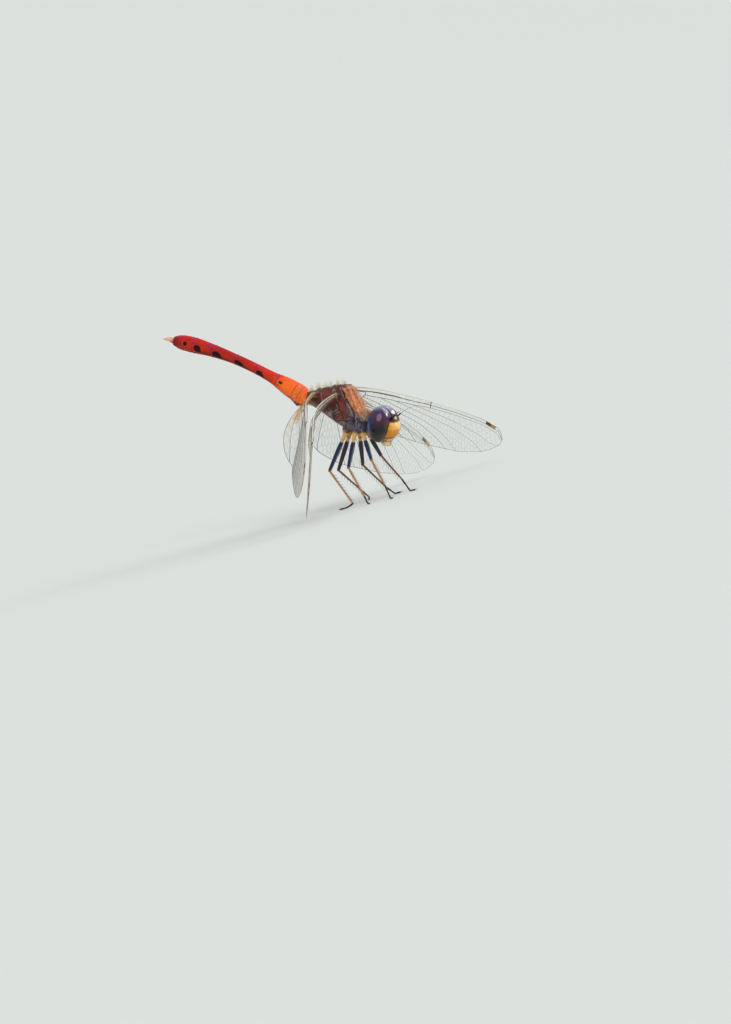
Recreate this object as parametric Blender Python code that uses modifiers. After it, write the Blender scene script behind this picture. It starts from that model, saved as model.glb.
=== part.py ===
"""A perched red dragonfly, a small percher of the family Libellulidae, as a still model at life size.

Metres, +Z up. The floor that it stands on is Z = 0 and the origin is the middle of its box there.
The animal faces +X and its left side is +Y. Its body parts are drawn in the body's own frame, whose
origin is midway between the roots of the forewings, and an empty then tips that frame nose down and
lifts it to its height over the floor. The legs are drawn from points of both frames.
"""

import math

import bmesh
import bpy
import numpy as np
from mathutils import Matrix, Vector

MM = 0.001
GAP = 0.2 * MM  # the clear cut between two neighbouring pieces

# Stance: how the body's frame sits over the floor
PITCH = math.radians(16)  # nose down
BODY_HEIGHT = 13.5 * MM

# Thorax: (along X, lowest Z, highest Z, half width), from the waist to the collar
THORAX_SECTIONS = (
    (-4.8, -2.0, -0.72, 0.8),
    (-4.45, -2.18, -0.48, 1.2),
    (-3.8, -2.35, -0.22, 1.5),
    (-2.7, -2.9, 0.12, 1.75),
    (-1.5, -3.55, 0.46, 1.9),
    (-0.5, -4.1, 0.76, 1.95),
    (0.25, -4.4, 0.84, 1.95),
    (0.9, -4.6, 0.55, 1.92),
    (1.5, -4.68, -0.2, 1.82),
    (2.05, -4.66, -1.05, 1.62),
    (2.5, -4.55, -1.8, 1.3),
    (2.8, -4.35, -2.4, 0.95),
)
THORAX_TOP_PINCH = 0.3  # how much narrower the back is than the flanks
THORAX_BELLY_PINCH = 0.25

# Collar and neck
COLLAR_CENTRE = (3.3, -3.5)
COLLAR_SEMI = (0.28, 0.95, 1.0)
NECK_RADIUS = 0.42 * MM
NECK_RUN = (3.76, 3.95)
NECK_HEIGHT = -3.4

# Head
EYE_CENTRE = (5.35, 1.2, -3.36)
EYE_SEMI = (1.36, 1.36, 2.14)
EYE_TILT = math.radians(11)  # the tops lean in to a seam, the lower ends stand apart
EYE_LEAN = math.radians(-9)  # and the lower ends lie further forward
EYE_FULLNESS = 2.5  # how squarely the eyes' upper inner sides meet, so that together they make one dome
EYE_OVERHANG = 0.4  # how far each top lies over towards the other eye, as a share of the eye's half width
EYE_SLIMMING = 0.32  # how much the lower front is drawn back, where the face spreads over it
HEAD_LUMPS = (  # (centre, half sizes) of the forms that the head's capsule is joined from
    ((5.8, 0.0, -4.0), (1.6, 1.5, 1.55)),  # the face, from brow to upper lip
    ((6.62, 0.0, -3.6), (0.92, 1.08, 0.85)),  # the brow's bulge
    ((6.75, 0.0, -2.75), (0.4, 0.44, 0.42)),  # the bump with the simple eyes
    ((5.92, 0.0, -5.25), (0.76, 0.86, 0.88)),  # lips and jaws
    ((5.0, 0.0, -3.6), (0.75, 1.3, 1.45)),  # the back of the head, between the eyes
)
ANTENNA_ROOT = (7.15, 0.62, -2.3)
ANTENNA_TIP = (8.8, 1.4, -1.2)

# Abdomen: it leaves the waist rising to the rear, and levels out towards its end
ABDOMEN_START = (-5.3, -1.33)
ABDOMEN_LENGTH = 18.95 * MM
ABDOMEN_RISE = (math.radians(25.5), math.radians(3))
ABDOMEN_LEVELLING = 1.35
ABDOMEN_PROFILE = (  # (share of the length, half width, half height)
    (0.00, 0.90, 1.04),
    (0.04, 1.00, 1.16),
    (0.08, 1.03, 1.14),
    (0.14, 1.02, 1.06),
    (0.19, 0.90, 0.90),
    (0.25, 0.72, 0.73),
    (0.33, 0.60, 0.66),
    (0.45, 0.58, 0.64),
    (0.57, 0.62, 0.66),
    (0.66, 0.70, 0.74),
    (0.74, 0.80, 0.82),
    (0.83, 0.90, 0.95),
    (0.90, 0.88, 0.96),
    (0.955, 0.74, 0.85),
    (1.00, 0.48, 0.58),
)
ABDOMEN_LENGTHS = {  # each node's share of the length, cut at joints between segments
    "abdomen_segments_1_3": (0.0, 0.208),
    "abdomen_segments_4_5": (0.208, 0.543),
    "abdomen_segments_6_7": (0.543, 0.845),
    "abdomen_segments_8_10": (0.845, 1.0),
}
CERCUS_LENGTH = 1.5 * MM
CERCUS_SPREAD = 0.36 * MM

# Wings: places along the span and across it, both as shares of the span, forward edge first
WING_THICKNESS = 0.5 * MM
FOREWING_SPAN = 25.0 * MM
HINDWING_SPAN = 23.8 * MM
FOREWING_FRONT = ((0, 0), (0.3, 0.012), (0.53, 0.012), (0.75, 0), (0.9, -0.022), (0.97, -0.05), (1, -0.085))
FOREWING_REAR = (
    (0, -0.04), (0.08, -0.11), (0.25, -0.175), (0.45, -0.198), (0.65, -0.203), (0.85, -0.188),
    (0.95, -0.155), (1, -0.115),
)
HINDWING_FRONT = ((0, 0), (0.2, 0.01), (0.42, 0.015), (0.7, 0), (0.88, -0.03), (0.96, -0.06), (1, -0.095))
HINDWING_REAR = (
    (0, -0.05), (0.05, -0.2), (0.12, -0.3), (0.22, -0.33), (0.35, -0.325), (0.55, -0.295), (0.75, -0.25),
    (0.88, -0.205), (0.96, -0.16), (1, -0.125),
)
# Each wing turns from its pose at the root to its pose further out: the sweep forward, the droop,
# the turn of the blade that lifts its front edge, all in degrees, and the share of the span this takes
FOREWING_LEFT_POSE = ((-7, 29), (12.5, 17.5), (47, 72.5), 0.34)
FOREWING_RIGHT_POSE = ((-7, 28.3), (12.5, 17.5), (50, 84), 0.34)
HINDWING_RIGHT_POSE = ((2, 30.3), (13, 10.5), (42, 78), 0.19)
HINDWING_LEFT_POSE = ((4.5, 5.5), (26.5, 24), (53, 96), 0.37)
FOREWING_ROOT = (0.25, 2.2, 0.0)
HINDWING_ROOT = (-2.6, 2.3, -0.1)
SPAN_STEPS = 26
CHORD_STEPS = 4

# Legs. The hip and the knee are in the body's frame, the ankle and the toes in the floor's, where X is
# measured from under the body's origin and Z from the floor
LEGS = {
    "front_right": ((2.95, -0.55, -4.95), (4.6, -1.5, -7.65), (3.75, -2.3, 1.75), (4.8, -3.0)),
    "front_left": ((2.95, 0.55, -4.95), (4.25, 1.4, -7.65), (3.4, 2.3, 1.75), (4.5, 3.0)),
    "middle_right": ((1.8, -0.57, -5.0), (1.7, -1.9, -8.8), (1.0, -2.9, 1.0), (2.1, -3.9)),
    "middle_left": ((1.8, 0.57, -5.0), (1.6, 1.7, -9.1), (0.85, 2.8, 1.0), (2.0, 3.8)),
    "hind_right": ((0.55, -0.57, -4.98), (-1.05, -1.6, -9.5), (-0.9, -2.6, 0.35), (-2.0, -4.1)),
    "hind_left": ((0.55, 0.57, -4.98), (-1.6, 1.45, -10.0), (-1.6, 2.4, 0.35), (-2.7, 3.9)),
}
COXA_SHARE = 0.24  # the stout first length of the leg, above the femur
COXA_RADIUS = 0.42 * MM
FEMUR_RADIUS = 0.33 * MM
TIBIA_RADIUS = 0.26 * MM
TARSUS_RADIUS = 0.25 * MM
TOE_DEPTH = 0.19 * MM  # how high the foot's middle line runs over the floor
TOE_SHARE = 0.5  # the part of the foot that lies on the floor

RING_POINTS = 16
COLOURS = {
    "amber_face": ((0.70, 0.26, 0.03), 0.35, 0.0),
    "eye": ((0.05, 0.02, 0.05), 0.15, 0.0),
    "thorax": ((0.11, 0.03, 0.025), 0.5, 0.0),
    "abdomen_orange": ((0.85, 0.11, 0.02), 0.35, 0.0),
    "abdomen_red": ((0.70, 0.04, 0.02), 0.35, 0.0),
    "appendage": ((0.65, 0.32, 0.18), 0.4, 0.0),
    "wing": ((0.75, 0.72, 0.62), 0.2, 0.0),
    "leg_dark": ((0.02, 0.02, 0.03), 0.4, 0.0),
    "leg_tan": ((0.50, 0.22, 0.12), 0.4, 0.0),
}


def clear_scene():
    for obj in list(bpy.data.objects):
        bpy.data.objects.remove(obj, do_unlink=True)


def material(name):
    found = bpy.data.materials.get(name)
    if found:
        return found
    colour, roughness, metallic = COLOURS[name]
    made = bpy.data.materials.new(name)
    made.use_nodes = True
    shader = made.node_tree.nodes["Principled BSDF"]
    shader.inputs["Base Color"].default_value = (*colour, 1.0)
    shader.inputs["Roughness"].default_value = roughness
    shader.inputs["Metallic"].default_value = metallic
    return made


def mm(point):
    """A point or a size that is written in millimetres, in metres."""
    return Vector(point) * MM


def add_object(name, data, colour, parent, collection):
    obj = bpy.data.objects.new(name, data)
    data.materials.append(material(colour))
    obj.parent = parent
    collection.objects.link(obj)
    return obj


def add_bmesh(name, bm, colour, parent, collection):
    bmesh.ops.recalc_face_normals(bm, faces=bm.faces)
    mesh = bpy.data.meshes.new(name)
    bm.to_mesh(mesh)
    bm.free()
    mesh.shade_smooth()
    return add_object(name, mesh, colour, parent, collection)


def smooth_between(points, place):
    """The smooth curve through the points, read at a place: a cubic with each point's mean slope."""
    xs, ys = np.array(points, float).T
    slopes = np.gradient(ys, xs)
    at = int(np.clip(np.searchsorted(xs, place) - 1, 0, len(xs) - 2))
    width = xs[at + 1] - xs[at]
    t = (place - xs[at]) / width
    start = (1 + 2 * t) * (1 - t) ** 2 * ys[at] + t * (1 - t) ** 2 * width * slopes[at]
    end = t * t * (3 - 2 * t) * ys[at + 1] - t * t * (1 - t) * width * slopes[at + 1]
    return float(start + end)


def loft(name, sections, colour, parent, collection, pinch=(0.0, 0.0), squareness=2.0):
    """A closed body through rings: (centre, tilt, half width, half height above, half height below).

    The rings are super-ellipses that stand square to the line of travel, which tilts up to the rear.
    """
    bm = bmesh.new()
    rings = []
    power = 2.0 / squareness
    for centre, tilt, half_width, above, below in sections:
        up = Vector((math.sin(tilt), 0.0, math.cos(tilt)))
        ring = []
        for step in range(RING_POINTS):
            turn = 2 * math.pi * step / RING_POINTS
            across = math.copysign(abs(math.cos(turn)) ** power, math.cos(turn))
            high = math.copysign(abs(math.sin(turn)) ** power, math.sin(turn))
            narrow = 1 - (pinch[0] if high > 0 else pinch[1]) * abs(high) ** 1.5
            point = Vector(centre) + up * high * (above if high > 0 else below)
            point.y += across * half_width * narrow
            ring.append(bm.verts.new(point))
        rings.append(ring)
    for ring, following in zip(rings, rings[1:]):
        for step in range(RING_POINTS):
            after = (step + 1) % RING_POINTS
            bm.faces.new((ring[step], ring[after], following[after], following[step]))
    bm.faces.new(rings[0])
    bm.faces.new(rings[-1])
    return add_bmesh(name, bm, colour, parent, collection)


def ellipsoid(name, centre, semi, colour, parent, collection, tilt=0.0, lean=0.0, steps=(24, 14)):
    bm = bmesh.new()
    turn = Matrix.Rotation(lean, 4, "Y") @ Matrix.Rotation(tilt, 4, "X")
    turn = Matrix.Translation(centre) @ turn @ Matrix.Diagonal((*semi, 1))
    bmesh.ops.create_uvsphere(bm, u_segments=steps[0], v_segments=steps[1], radius=1.0, matrix=turn)
    return add_bmesh(name, bm, colour, parent, collection)


def tube(name, points, radii, colour, parent, collection, sides=8):
    """A round tapering rod along points: a curve with a bevel, whose radius changes from point to point."""
    curve = bpy.data.curves.new(name, "CURVE")
    curve.dimensions = "3D"
    curve.bevel_depth = MM
    curve.bevel_resolution = (sides - 4) // 2
    curve.use_fill_caps = True
    spline = curve.splines.new("POLY")
    spline.points.add(len(points) - 1)
    for place, point, radius in zip(spline.points, points, radii):
        place.co = (*point, 1.0)
        place.radius = radius / MM
    return add_object(name, curve, colour, parent, collection)


def as_mesh(obj):
    """The curve object remade as a mesh object with welded caps, so that it can be cut."""
    bpy.context.view_layer.update()
    graph = bpy.context.evaluated_depsgraph_get()
    mesh = bpy.data.meshes.new_from_object(obj.evaluated_get(graph))
    bm = bmesh.new()
    bm.from_mesh(mesh)
    bmesh.ops.remove_doubles(bm, verts=bm.verts, dist=0.001 * MM)
    bmesh.ops.recalc_face_normals(bm, faces=bm.faces)
    bm.to_mesh(mesh)
    bm.free()
    name, parent, collection = obj.name, obj.parent, obj.users_collection[0]
    bpy.data.objects.remove(obj, do_unlink=True)
    mesh.name = name
    made = bpy.data.objects.new(name, mesh)
    made.parent = parent
    collection.objects.link(made)
    return made


def boolean(obj, other, operation):
    modifier = obj.modifiers.new(f"{operation.lower()} {other.name}", "BOOLEAN")
    modifier.operation = operation
    modifier.solver = "EXACT"
    modifier.object = other


def hide(obj):
    obj.hide_render = True
    obj.display_type = "WIRE"
    return obj


def add_thorax(body, parts):
    sections = []
    for x, low, high, half_width in THORAX_SECTIONS:
        middle = (low + high) / 2
        half = (high - low) / 2 * MM
        sections.append((mm((x, 0, middle)), 0.0, half_width * MM, half, half))
    pinch = (THORAX_TOP_PINCH, THORAX_BELLY_PINCH)
    loft("thorax", sections, "thorax", body, parts, pinch, squareness=2.5)
    centre = mm((COLLAR_CENTRE[0], 0, COLLAR_CENTRE[1]))
    ellipsoid("prothorax", centre, mm(COLLAR_SEMI), "thorax", body, parts, steps=(18, 10))
    run = [mm((x, 0, NECK_HEIGHT)) for x in NECK_RUN]
    tube("neck", run, [NECK_RADIUS] * 2, "thorax", body, parts, sides=12)


def add_head(body, parts, cutters):
    """The capsule is lumps joined into one, hollowed on each side where an eye sits."""
    capsule = None
    for number, (centre, semi) in enumerate(HEAD_LUMPS):
        steps = (24, 14) if number == 0 else (18, 10)
        if capsule is None:
            capsule = ellipsoid("head", mm(centre), mm(semi), "amber_face", body, parts, steps=steps)
        else:
            name = f"head_lump_{number}"
            lump = ellipsoid(name, mm(centre), mm(semi), "amber_face", body, cutters, steps=steps)
            boolean(capsule, hide(lump), "UNION")
    for side, name in ((1, "left"), (-1, "right")):
        x, y, z = EYE_CENTRE
        centre = mm((x, side * y, z))
        eye = eyeball(f"eye_{name}", centre, side, 0.0, body, parts)
        eye.data.shade_smooth()
        socket = eyeball(f"eye_socket_{name}", centre, side, GAP, body, cutters)
        boolean(capsule, hide(socket), "DIFFERENCE")
        antenna = [ANTENNA_ROOT, ANTENNA_TIP]
        ends = [mm((px, side * py, pz)) for px, py, pz in antenna]
        tube(f"antenna_{name}", ends, [0.27 * MM, 0.25 * MM], "leg_dark", body, parts)


def eyeball(name, centre, side, grow, body, collection):
    """One compound eye, or with grow the hollow that it sits in: cut flat where it meets its twin."""
    semi = mm(EYE_SEMI) + Vector((grow, grow, grow))
    bm = bmesh.new()
    bmesh.ops.create_uvsphere(bm, u_segments=26, v_segments=18, radius=1.0)
    for vert in bm.verts:
        fill_out(vert.co, side)
    turn = Matrix.Rotation(EYE_LEAN, 4, "Y") @ Matrix.Rotation(side * EYE_TILT, 4, "X")
    bm.transform(Matrix.Translation(centre) @ turn @ Matrix.Diagonal((*semi, 1)))
    seam = Vector((0.0, side * (GAP / 2 - grow), 0.0))
    geometry = bm.verts[:] + bm.edges[:] + bm.faces[:]
    cut = bmesh.ops.bisect_plane(
        bm, geom=geometry, plane_co=seam, plane_no=(0, side, 0), clear_inner=True, dist=1e-9
    )
    rim = [item for item in cut["geom_cut"] if isinstance(item, bmesh.types.BMEdge)]
    if rim:
        bmesh.ops.contextual_create(bm, geom=rim)
    bmesh.ops.recalc_face_normals(bm, faces=bm.faces)
    return add_bmesh(name, bm, "eye", body, collection)


def fill_out(point, side):
    """Leans a ball's top over to the other eye, squares its upper inner side and slims its lower front."""
    inward = -side * point.y
    if 0 < inward < 1:
        share = min(1.0, max(0.0, (0.9 * point.z + 0.25 * point.x + 0.05) / 0.5))
        power = 2 + EYE_FULLNESS * share * share * (3 - 2 * share)
        grown = (1 - inward**power) ** (1 / power) / math.sqrt(1 - inward**2)
        point.x *= grown
        point.z *= grown
    point.y -= side * EYE_OVERHANG * max(0.0, point.z) ** 1.5
    if point.x > 0 > point.z:
        point.x *= 1 + EYE_SLIMMING * point.z


def abdomen_line(share):
    """The place and the tilt of the abdomen's middle line at a share of its length."""
    steps = 60
    place = mm((ABDOMEN_START[0], 0, ABDOMEN_START[1]))
    first, last = ABDOMEN_RISE
    tilt = first
    for step in range(steps):
        tilt = first + (last - first) * (share * (step + 0.5) / steps) ** ABDOMEN_LEVELLING
        place += Vector((-math.cos(tilt), 0, math.sin(tilt))) * ABDOMEN_LENGTH * share / steps
    return place, tilt


def add_abdomen(body, parts):
    widths = [(share, half_width) for share, half_width, _ in ABDOMEN_PROFILE]
    heights = [(share, half_height) for share, _, half_height in ABDOMEN_PROFILE]
    half_gap = GAP / ABDOMEN_LENGTH / 2
    for name, (start, end) in ABDOMEN_LENGTHS.items():
        sections = []
        for share in np.linspace(start + half_gap, end - half_gap, 7):
            place, tilt = abdomen_line(share)
            half_width = smooth_between(widths, share) * MM
            half_height = smooth_between(heights, share) * MM
            sections.append((place, tilt, half_width, half_height, half_height))
        colour = "abdomen_orange" if start == 0 else "abdomen_red"
        loft(name, sections, colour, body, parts, pinch=(0.18, 0.0), squareness=2.2)
    place, tilt = abdomen_line(1.0)
    rear = Vector((-math.cos(tilt), 0, math.sin(tilt)))
    for side, name in ((1, "left"), (-1, "right")):
        root = place + rear * GAP + Vector((0, side * CERCUS_SPREAD, 0.08 * MM))
        tip = root + rear * CERCUS_LENGTH + Vector((0, side * 0.08 * MM, 0.05 * MM))
        middle = root.lerp(tip, 0.5) + Vector((0, 0, -0.05 * MM))
        radii = [0.26 * MM, 0.28 * MM, 0.22 * MM]
        tube(f"cercus_{name}", [root, middle, tip], radii, "appendage", body, parts)


def wing_frames(root, span, pose, side, steps):
    """Along the span: each point of the wing's axis and the direction across the blade, forward."""
    sweep, droop, turn, reach = pose
    point = Vector((root[0] * MM, root[1] * MM, root[2] * MM))
    frames = []
    before = 0.0
    for share in steps:
        for where in ((before + share) / 2, share):
            eased = min(1.0, where / reach)
            eased = eased * eased * (3 - 2 * eased)
            a, b, c = (math.radians(lo + (hi - lo) * eased) for lo, hi in (sweep, droop, turn))
            out = Vector((math.sin(a) * math.cos(b), math.cos(a) * math.cos(b), -math.sin(b)))
            if where < share:
                point = point + out * span * (share - before)
        level = Vector((math.cos(a), -math.sin(a), 0))
        forward = level * math.cos(c) + level.cross(out) * math.sin(c)
        frames.append((point.copy(), forward))
        before = share
    mirror = Matrix.Diagonal((1, side, 1))
    return [(mirror @ place, mirror @ forward) for place, forward in frames]


def add_wing(name, root, span, front, rear, pose, side, body, parts):
    """A grid bent to the wing's outline and pose, given its thickness by Solidify."""
    bm = bmesh.new()
    bmesh.ops.create_grid(bm, x_segments=SPAN_STEPS, y_segments=CHORD_STEPS, size=0.5)
    shares = [1 - (1 - step / SPAN_STEPS) ** 1.35 for step in range(SPAN_STEPS + 1)]
    frames = wing_frames(root, span, pose, side, shares)
    for vert in bm.verts:
        column = round((vert.co.x + 0.5) * SPAN_STEPS)
        across = vert.co.y + 0.5
        place, forward = frames[column]
        share = shares[column]
        low, high = smooth_between(rear, share), smooth_between(front, share)
        vert.co = place + forward * span * (low + (high - low) * across)
    mesh = bpy.data.meshes.new(name)
    bm.to_mesh(mesh)
    bm.free()
    wing = add_object(name, mesh, "wing", body, parts)
    thick = wing.modifiers.new("thickness", "SOLIDIFY")
    thick.thickness = WING_THICKNESS
    thick.offset = 0.0


def add_wings(body, parts):
    fore = (FOREWING_ROOT, FOREWING_SPAN, FOREWING_FRONT, FOREWING_REAR)
    hind = (HINDWING_ROOT, HINDWING_SPAN, HINDWING_FRONT, HINDWING_REAR)
    add_wing("forewing_left", *fore, FOREWING_LEFT_POSE, 1, body, parts)
    add_wing("forewing_right", *fore, FOREWING_RIGHT_POSE, -1, body, parts)
    add_wing("hindwing_left", *hind, HINDWING_LEFT_POSE, 1, body, parts)
    add_wing("hindwing_right", *hind, HINDWING_RIGHT_POSE, -1, body, parts)


def shortened(start, end, at_start, at_end):
    """The two ends of a limb's length, each drawn back so that a gap stays at the joint."""
    way = (end - start).normalized()
    return start + way * at_start, end - way * at_end


def add_leg(name, points, to_floor, floor, parts, ground):
    """Hip to knee, knee to ankle and ankle to toes: three rods, the last one flat where it stands."""
    hip, knee, ankle, toe = points
    hip = to_floor @ mm(hip)
    knee = to_floor @ mm(knee)
    ankle = mm(ankle)
    toe = Vector((toe[0] * MM, toe[1] * MM, TOE_DEPTH))
    start, end = shortened(hip, knee, 0.0, GAP / 2)
    femur = [start, start.lerp(end, COXA_SHARE), start.lerp(end, COXA_SHARE + 0.08), end]
    radii = [COXA_RADIUS, COXA_RADIUS * 0.9, FEMUR_RADIUS, FEMUR_RADIUS * 0.82]
    tube(f"{name}_femur", femur, radii, "leg_dark", floor, parts)
    start, end = shortened(knee, ankle, 2.4 * GAP, 1.6 * GAP)
    tube(f"{name}_tibia", [start, end], [TIBIA_RADIUS * 1.05, TIBIA_RADIUS], "leg_tan", floor, parts)
    landing = ankle.lerp(toe, 1 - TOE_SHARE)
    landing.z = TOE_DEPTH
    start, _ = shortened(ankle, landing, 2.0 * GAP, 0.0)
    foot = tube(f"{name}_tarsus", [start, landing, toe], [TARSUS_RADIUS] * 3, "leg_dark", floor, parts)
    foot = as_mesh(foot)
    boolean(foot, ground, "DIFFERENCE")


def add_legs(to_floor, floor, parts, cutters):
    bpy.ops.mesh.primitive_cube_add(size=1.0)
    ground = bpy.context.active_object
    ground.name = "ground_cutter"
    for collection in ground.users_collection:
        collection.objects.unlink(ground)
    cutters.objects.link(ground)
    ground.data.transform(Matrix.Diagonal((30 * MM, 30 * MM, 5 * MM, 1)))
    ground.location = (0, 0, -2.5 * MM)
    ground.parent = floor
    hide(ground)
    for name, points in LEGS.items():
        add_leg(name, points, to_floor, floor, parts, ground)


def centre_on_origin(floor, parts):
    """Moves the empty that carries all, so that the middle of the box is over the origin."""
    bpy.context.view_layer.update()
    graph = bpy.context.evaluated_depsgraph_get()
    low = np.full(3, np.inf)
    high = np.full(3, -np.inf)
    for obj in parts.objects:
        if obj.type == "EMPTY":
            continue
        evaluated = obj.evaluated_get(graph)
        mesh = evaluated.to_mesh()
        points = np.empty(len(mesh.vertices) * 3, np.float32)
        mesh.vertices.foreach_get("co", points)
        evaluated.to_mesh_clear()
        world = np.array(obj.matrix_world)
        points = points.reshape(-1, 3) @ world[:3, :3].T + world[:3, 3]
        low = np.minimum(low, points.min(0))
        high = np.maximum(high, points.max(0))
    middle = (low + high) / 2
    floor.location = (-middle[0], -middle[1], 0.0)


def main():
    clear_scene()
    scene = bpy.context.scene.collection
    parts = bpy.data.collections.new("dragonfly")
    cutters = bpy.data.collections.new("cutters")
    scene.children.link(parts)
    scene.children.link(cutters)
    floor = bpy.data.objects.new("floor_frame", None)
    body = bpy.data.objects.new("body_frame", None)
    for empty in (floor, body):
        parts.objects.link(empty)
    body.parent = floor
    body.rotation_euler = (0, PITCH, 0)
    body.location = (0, 0, BODY_HEIGHT)
    to_floor = Matrix.Translation((0, 0, BODY_HEIGHT)) @ Matrix.Rotation(PITCH, 4, "Y")
    add_thorax(body, parts)
    add_head(body, parts, cutters)
    add_abdomen(body, parts)
    add_wings(body, parts)
    add_legs(to_floor, floor, parts, cutters)
    centre_on_origin(floor, parts)


main()
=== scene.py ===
"""The looks of the perched red dragonfly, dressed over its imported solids.

Shapes are worked out in the body's own frame, in millimetres: the origin midway between the roots of the
forewings, +X to the head, +Y to the animal's left, +Z up its back. BODY then turns them nose down and
puts them where the solids stand.
"""

import math

import bmesh
import bpy
import numpy as np
from mathutils import Matrix, Vector, geometry


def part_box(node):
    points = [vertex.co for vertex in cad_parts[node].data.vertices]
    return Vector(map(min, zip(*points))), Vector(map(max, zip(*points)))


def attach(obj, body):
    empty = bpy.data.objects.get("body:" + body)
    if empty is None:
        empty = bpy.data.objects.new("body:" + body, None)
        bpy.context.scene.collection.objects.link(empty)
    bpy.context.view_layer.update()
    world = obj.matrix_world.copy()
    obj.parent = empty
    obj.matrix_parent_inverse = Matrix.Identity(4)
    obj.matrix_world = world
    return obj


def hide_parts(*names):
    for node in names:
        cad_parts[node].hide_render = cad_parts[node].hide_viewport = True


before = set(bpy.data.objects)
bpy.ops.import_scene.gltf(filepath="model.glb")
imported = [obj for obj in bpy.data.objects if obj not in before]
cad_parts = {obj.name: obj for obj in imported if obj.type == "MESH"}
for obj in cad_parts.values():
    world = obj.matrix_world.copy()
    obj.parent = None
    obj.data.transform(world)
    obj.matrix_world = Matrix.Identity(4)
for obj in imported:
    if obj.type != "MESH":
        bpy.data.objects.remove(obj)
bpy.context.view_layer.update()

MM = 0.001
PITCH = math.radians(16)  # the body's frame is turned nose down by this
COLLAR_CENTRE = Vector((3.3, 0.0, -3.5))  # the collar's middle in the body's frame, in millimetres
SIDES = (("left", 1), ("right", -1))
RANDOM = np.random.default_rng(7)


def body_matrix():
    """Body frame in millimetres to the row's frame in metres, found from where the collar stands."""
    low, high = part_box("prothorax")
    turn = Matrix.Rotation(PITCH, 4, "Y")
    place = (low + high) / 2 - turn @ (COLLAR_CENTRE * MM)
    return Matrix.Translation(place) @ turn @ Matrix.Scale(MM, 4)


BODY = body_matrix()
BODY_ARRAY = np.array(BODY)


# ---------------------------------------------------------------- numbers and colours


def to_row(points):
    """Body-frame millimetres to row-frame metres."""
    return np.asarray(points, float) @ BODY_ARRAY[:3, :3].T + BODY_ARRAY[:3, 3]


def from_row(point):
    """Row-frame metres to body-frame millimetres."""
    inverse = np.linalg.inv(BODY_ARRAY)
    return np.asarray(point, float) @ inverse[:3, :3].T + inverse[:3, 3]


def ramp(value, low, high):
    """0 at low, 1 at high and smooth between, for numbers or arrays."""
    t = np.clip((np.asarray(value, float) - low) / (high - low), 0, 1)
    return t * t * (3 - 2 * t)


def bell(value, middle, width):
    """1 at the middle, falling to either side."""
    return np.exp(-(((np.asarray(value, float) - middle) / width) ** 2))


def rgb(colour):
    """A display colour such as D9331F as linear light; an array is light already."""
    if not isinstance(colour, str):
        return np.asarray(colour, float)
    parts = np.array([int(colour[at : at + 2], 16) for at in (0, 2, 4)]) / 255
    return np.where(parts <= 0.04045, parts / 12.92, ((parts + 0.055) / 1.055) ** 2.4)


def mix(first, second, share):
    """From the first colour to the second by share."""
    share = np.asarray(share, float)[..., None]
    return rgb(first) * (1 - share) + rgb(second) * share


def coated(colours, *coats):
    """Colours with coats laid over them in turn, each a colour and the share that it covers."""
    for colour, share in coats:
        colours = mix(colours, colour, share)
    return colours


def smooth_curve(points, places):
    """The smooth curve through a few points, read at many places."""
    xs, ys = np.array(points, float).T
    slopes = np.gradient(ys, xs)
    places = np.clip(places, xs[0], xs[-1])
    at = np.clip(np.searchsorted(xs, places, side="right") - 1, 0, len(xs) - 2)
    width = xs[at + 1] - xs[at]
    t = (places - xs[at]) / width
    start = (1 + 2 * t) * (1 - t) ** 2 * ys[at] + t * (1 - t) ** 2 * width * slopes[at]
    return start + t * t * (3 - 2 * t) * ys[at + 1] - t * t * (1 - t) * width * slopes[at + 1]


def waves(points, scale, seed=0):
    """Cheap smooth noise, about -1 to 1: a sum of sines in fixed random directions."""
    own = np.random.default_rng(seed)
    total = np.zeros(len(points))
    for octave in range(7):
        direction = own.normal(size=3)
        direction *= scale * (0.7 + 0.35 * octave) / np.linalg.norm(direction)
        total += np.sin(points @ direction + own.uniform(0, 6.3))
    return total / 3.2


def unit(vectors):
    """Vectors made one long."""
    return vectors / (np.linalg.norm(vectors, axis=-1, keepdims=True) + 1e-12)


def square_to(axis, vector):
    """The part of a vector that is square to a unit axis."""
    vector = np.array(vector)
    return vector - axis * (vector @ axis)


def read_line(places, stops, line):
    """Points of a line given at stops, read at other places."""
    return np.stack([np.interp(places, stops, axis) for axis in np.transpose(line)], axis=-1)


def rings(along, up, sides):
    """Directions round unit vectors, a ring of them for each, starting square to up."""
    first = unit(np.cross(along, up))
    second = np.cross(along, first)
    turns = np.arange(sides)[:, None] / sides * 2 * math.pi
    return first[:, None] * np.cos(turns) + second[:, None] * np.sin(turns)


def rounded_ring(around, squareness, pinch_top, pinch_belly):
    """Turns round a ring, and its outline there as shares of the half width and the half height."""
    turn = np.arange(around) / around * 2 * math.pi
    flat, tall = (np.sign(wave) * np.abs(wave) ** (2 / squareness) for wave in (np.sin(turn), np.cos(turn)))
    flat = flat * (1 - pinch_top * np.clip(tall, 0, 1) - pinch_belly * np.clip(-tall, 0, 1))
    return turn, flat, tall


# ---------------------------------------------------------------- meshes


def numbers(items, field, width=1, kind=int):
    """A field of all of a mesh's items as an array."""
    values = np.zeros(len(items) * width, kind)
    items.foreach_get(field, values)
    return values


def grid_faces(rows, columns, closed=False):
    """Quads over a grid of rows by columns points; closed joins the last column to the first."""
    row, column = np.meshgrid(np.arange(rows - 1), np.arange(columns - (not closed)), indexing="ij")
    start, after = row * columns, (column + 1) % columns
    quads = (start + column, start + after, start + columns + after, start + columns + column)
    return np.stack(quads, axis=-1).reshape(-1, 4)


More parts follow.
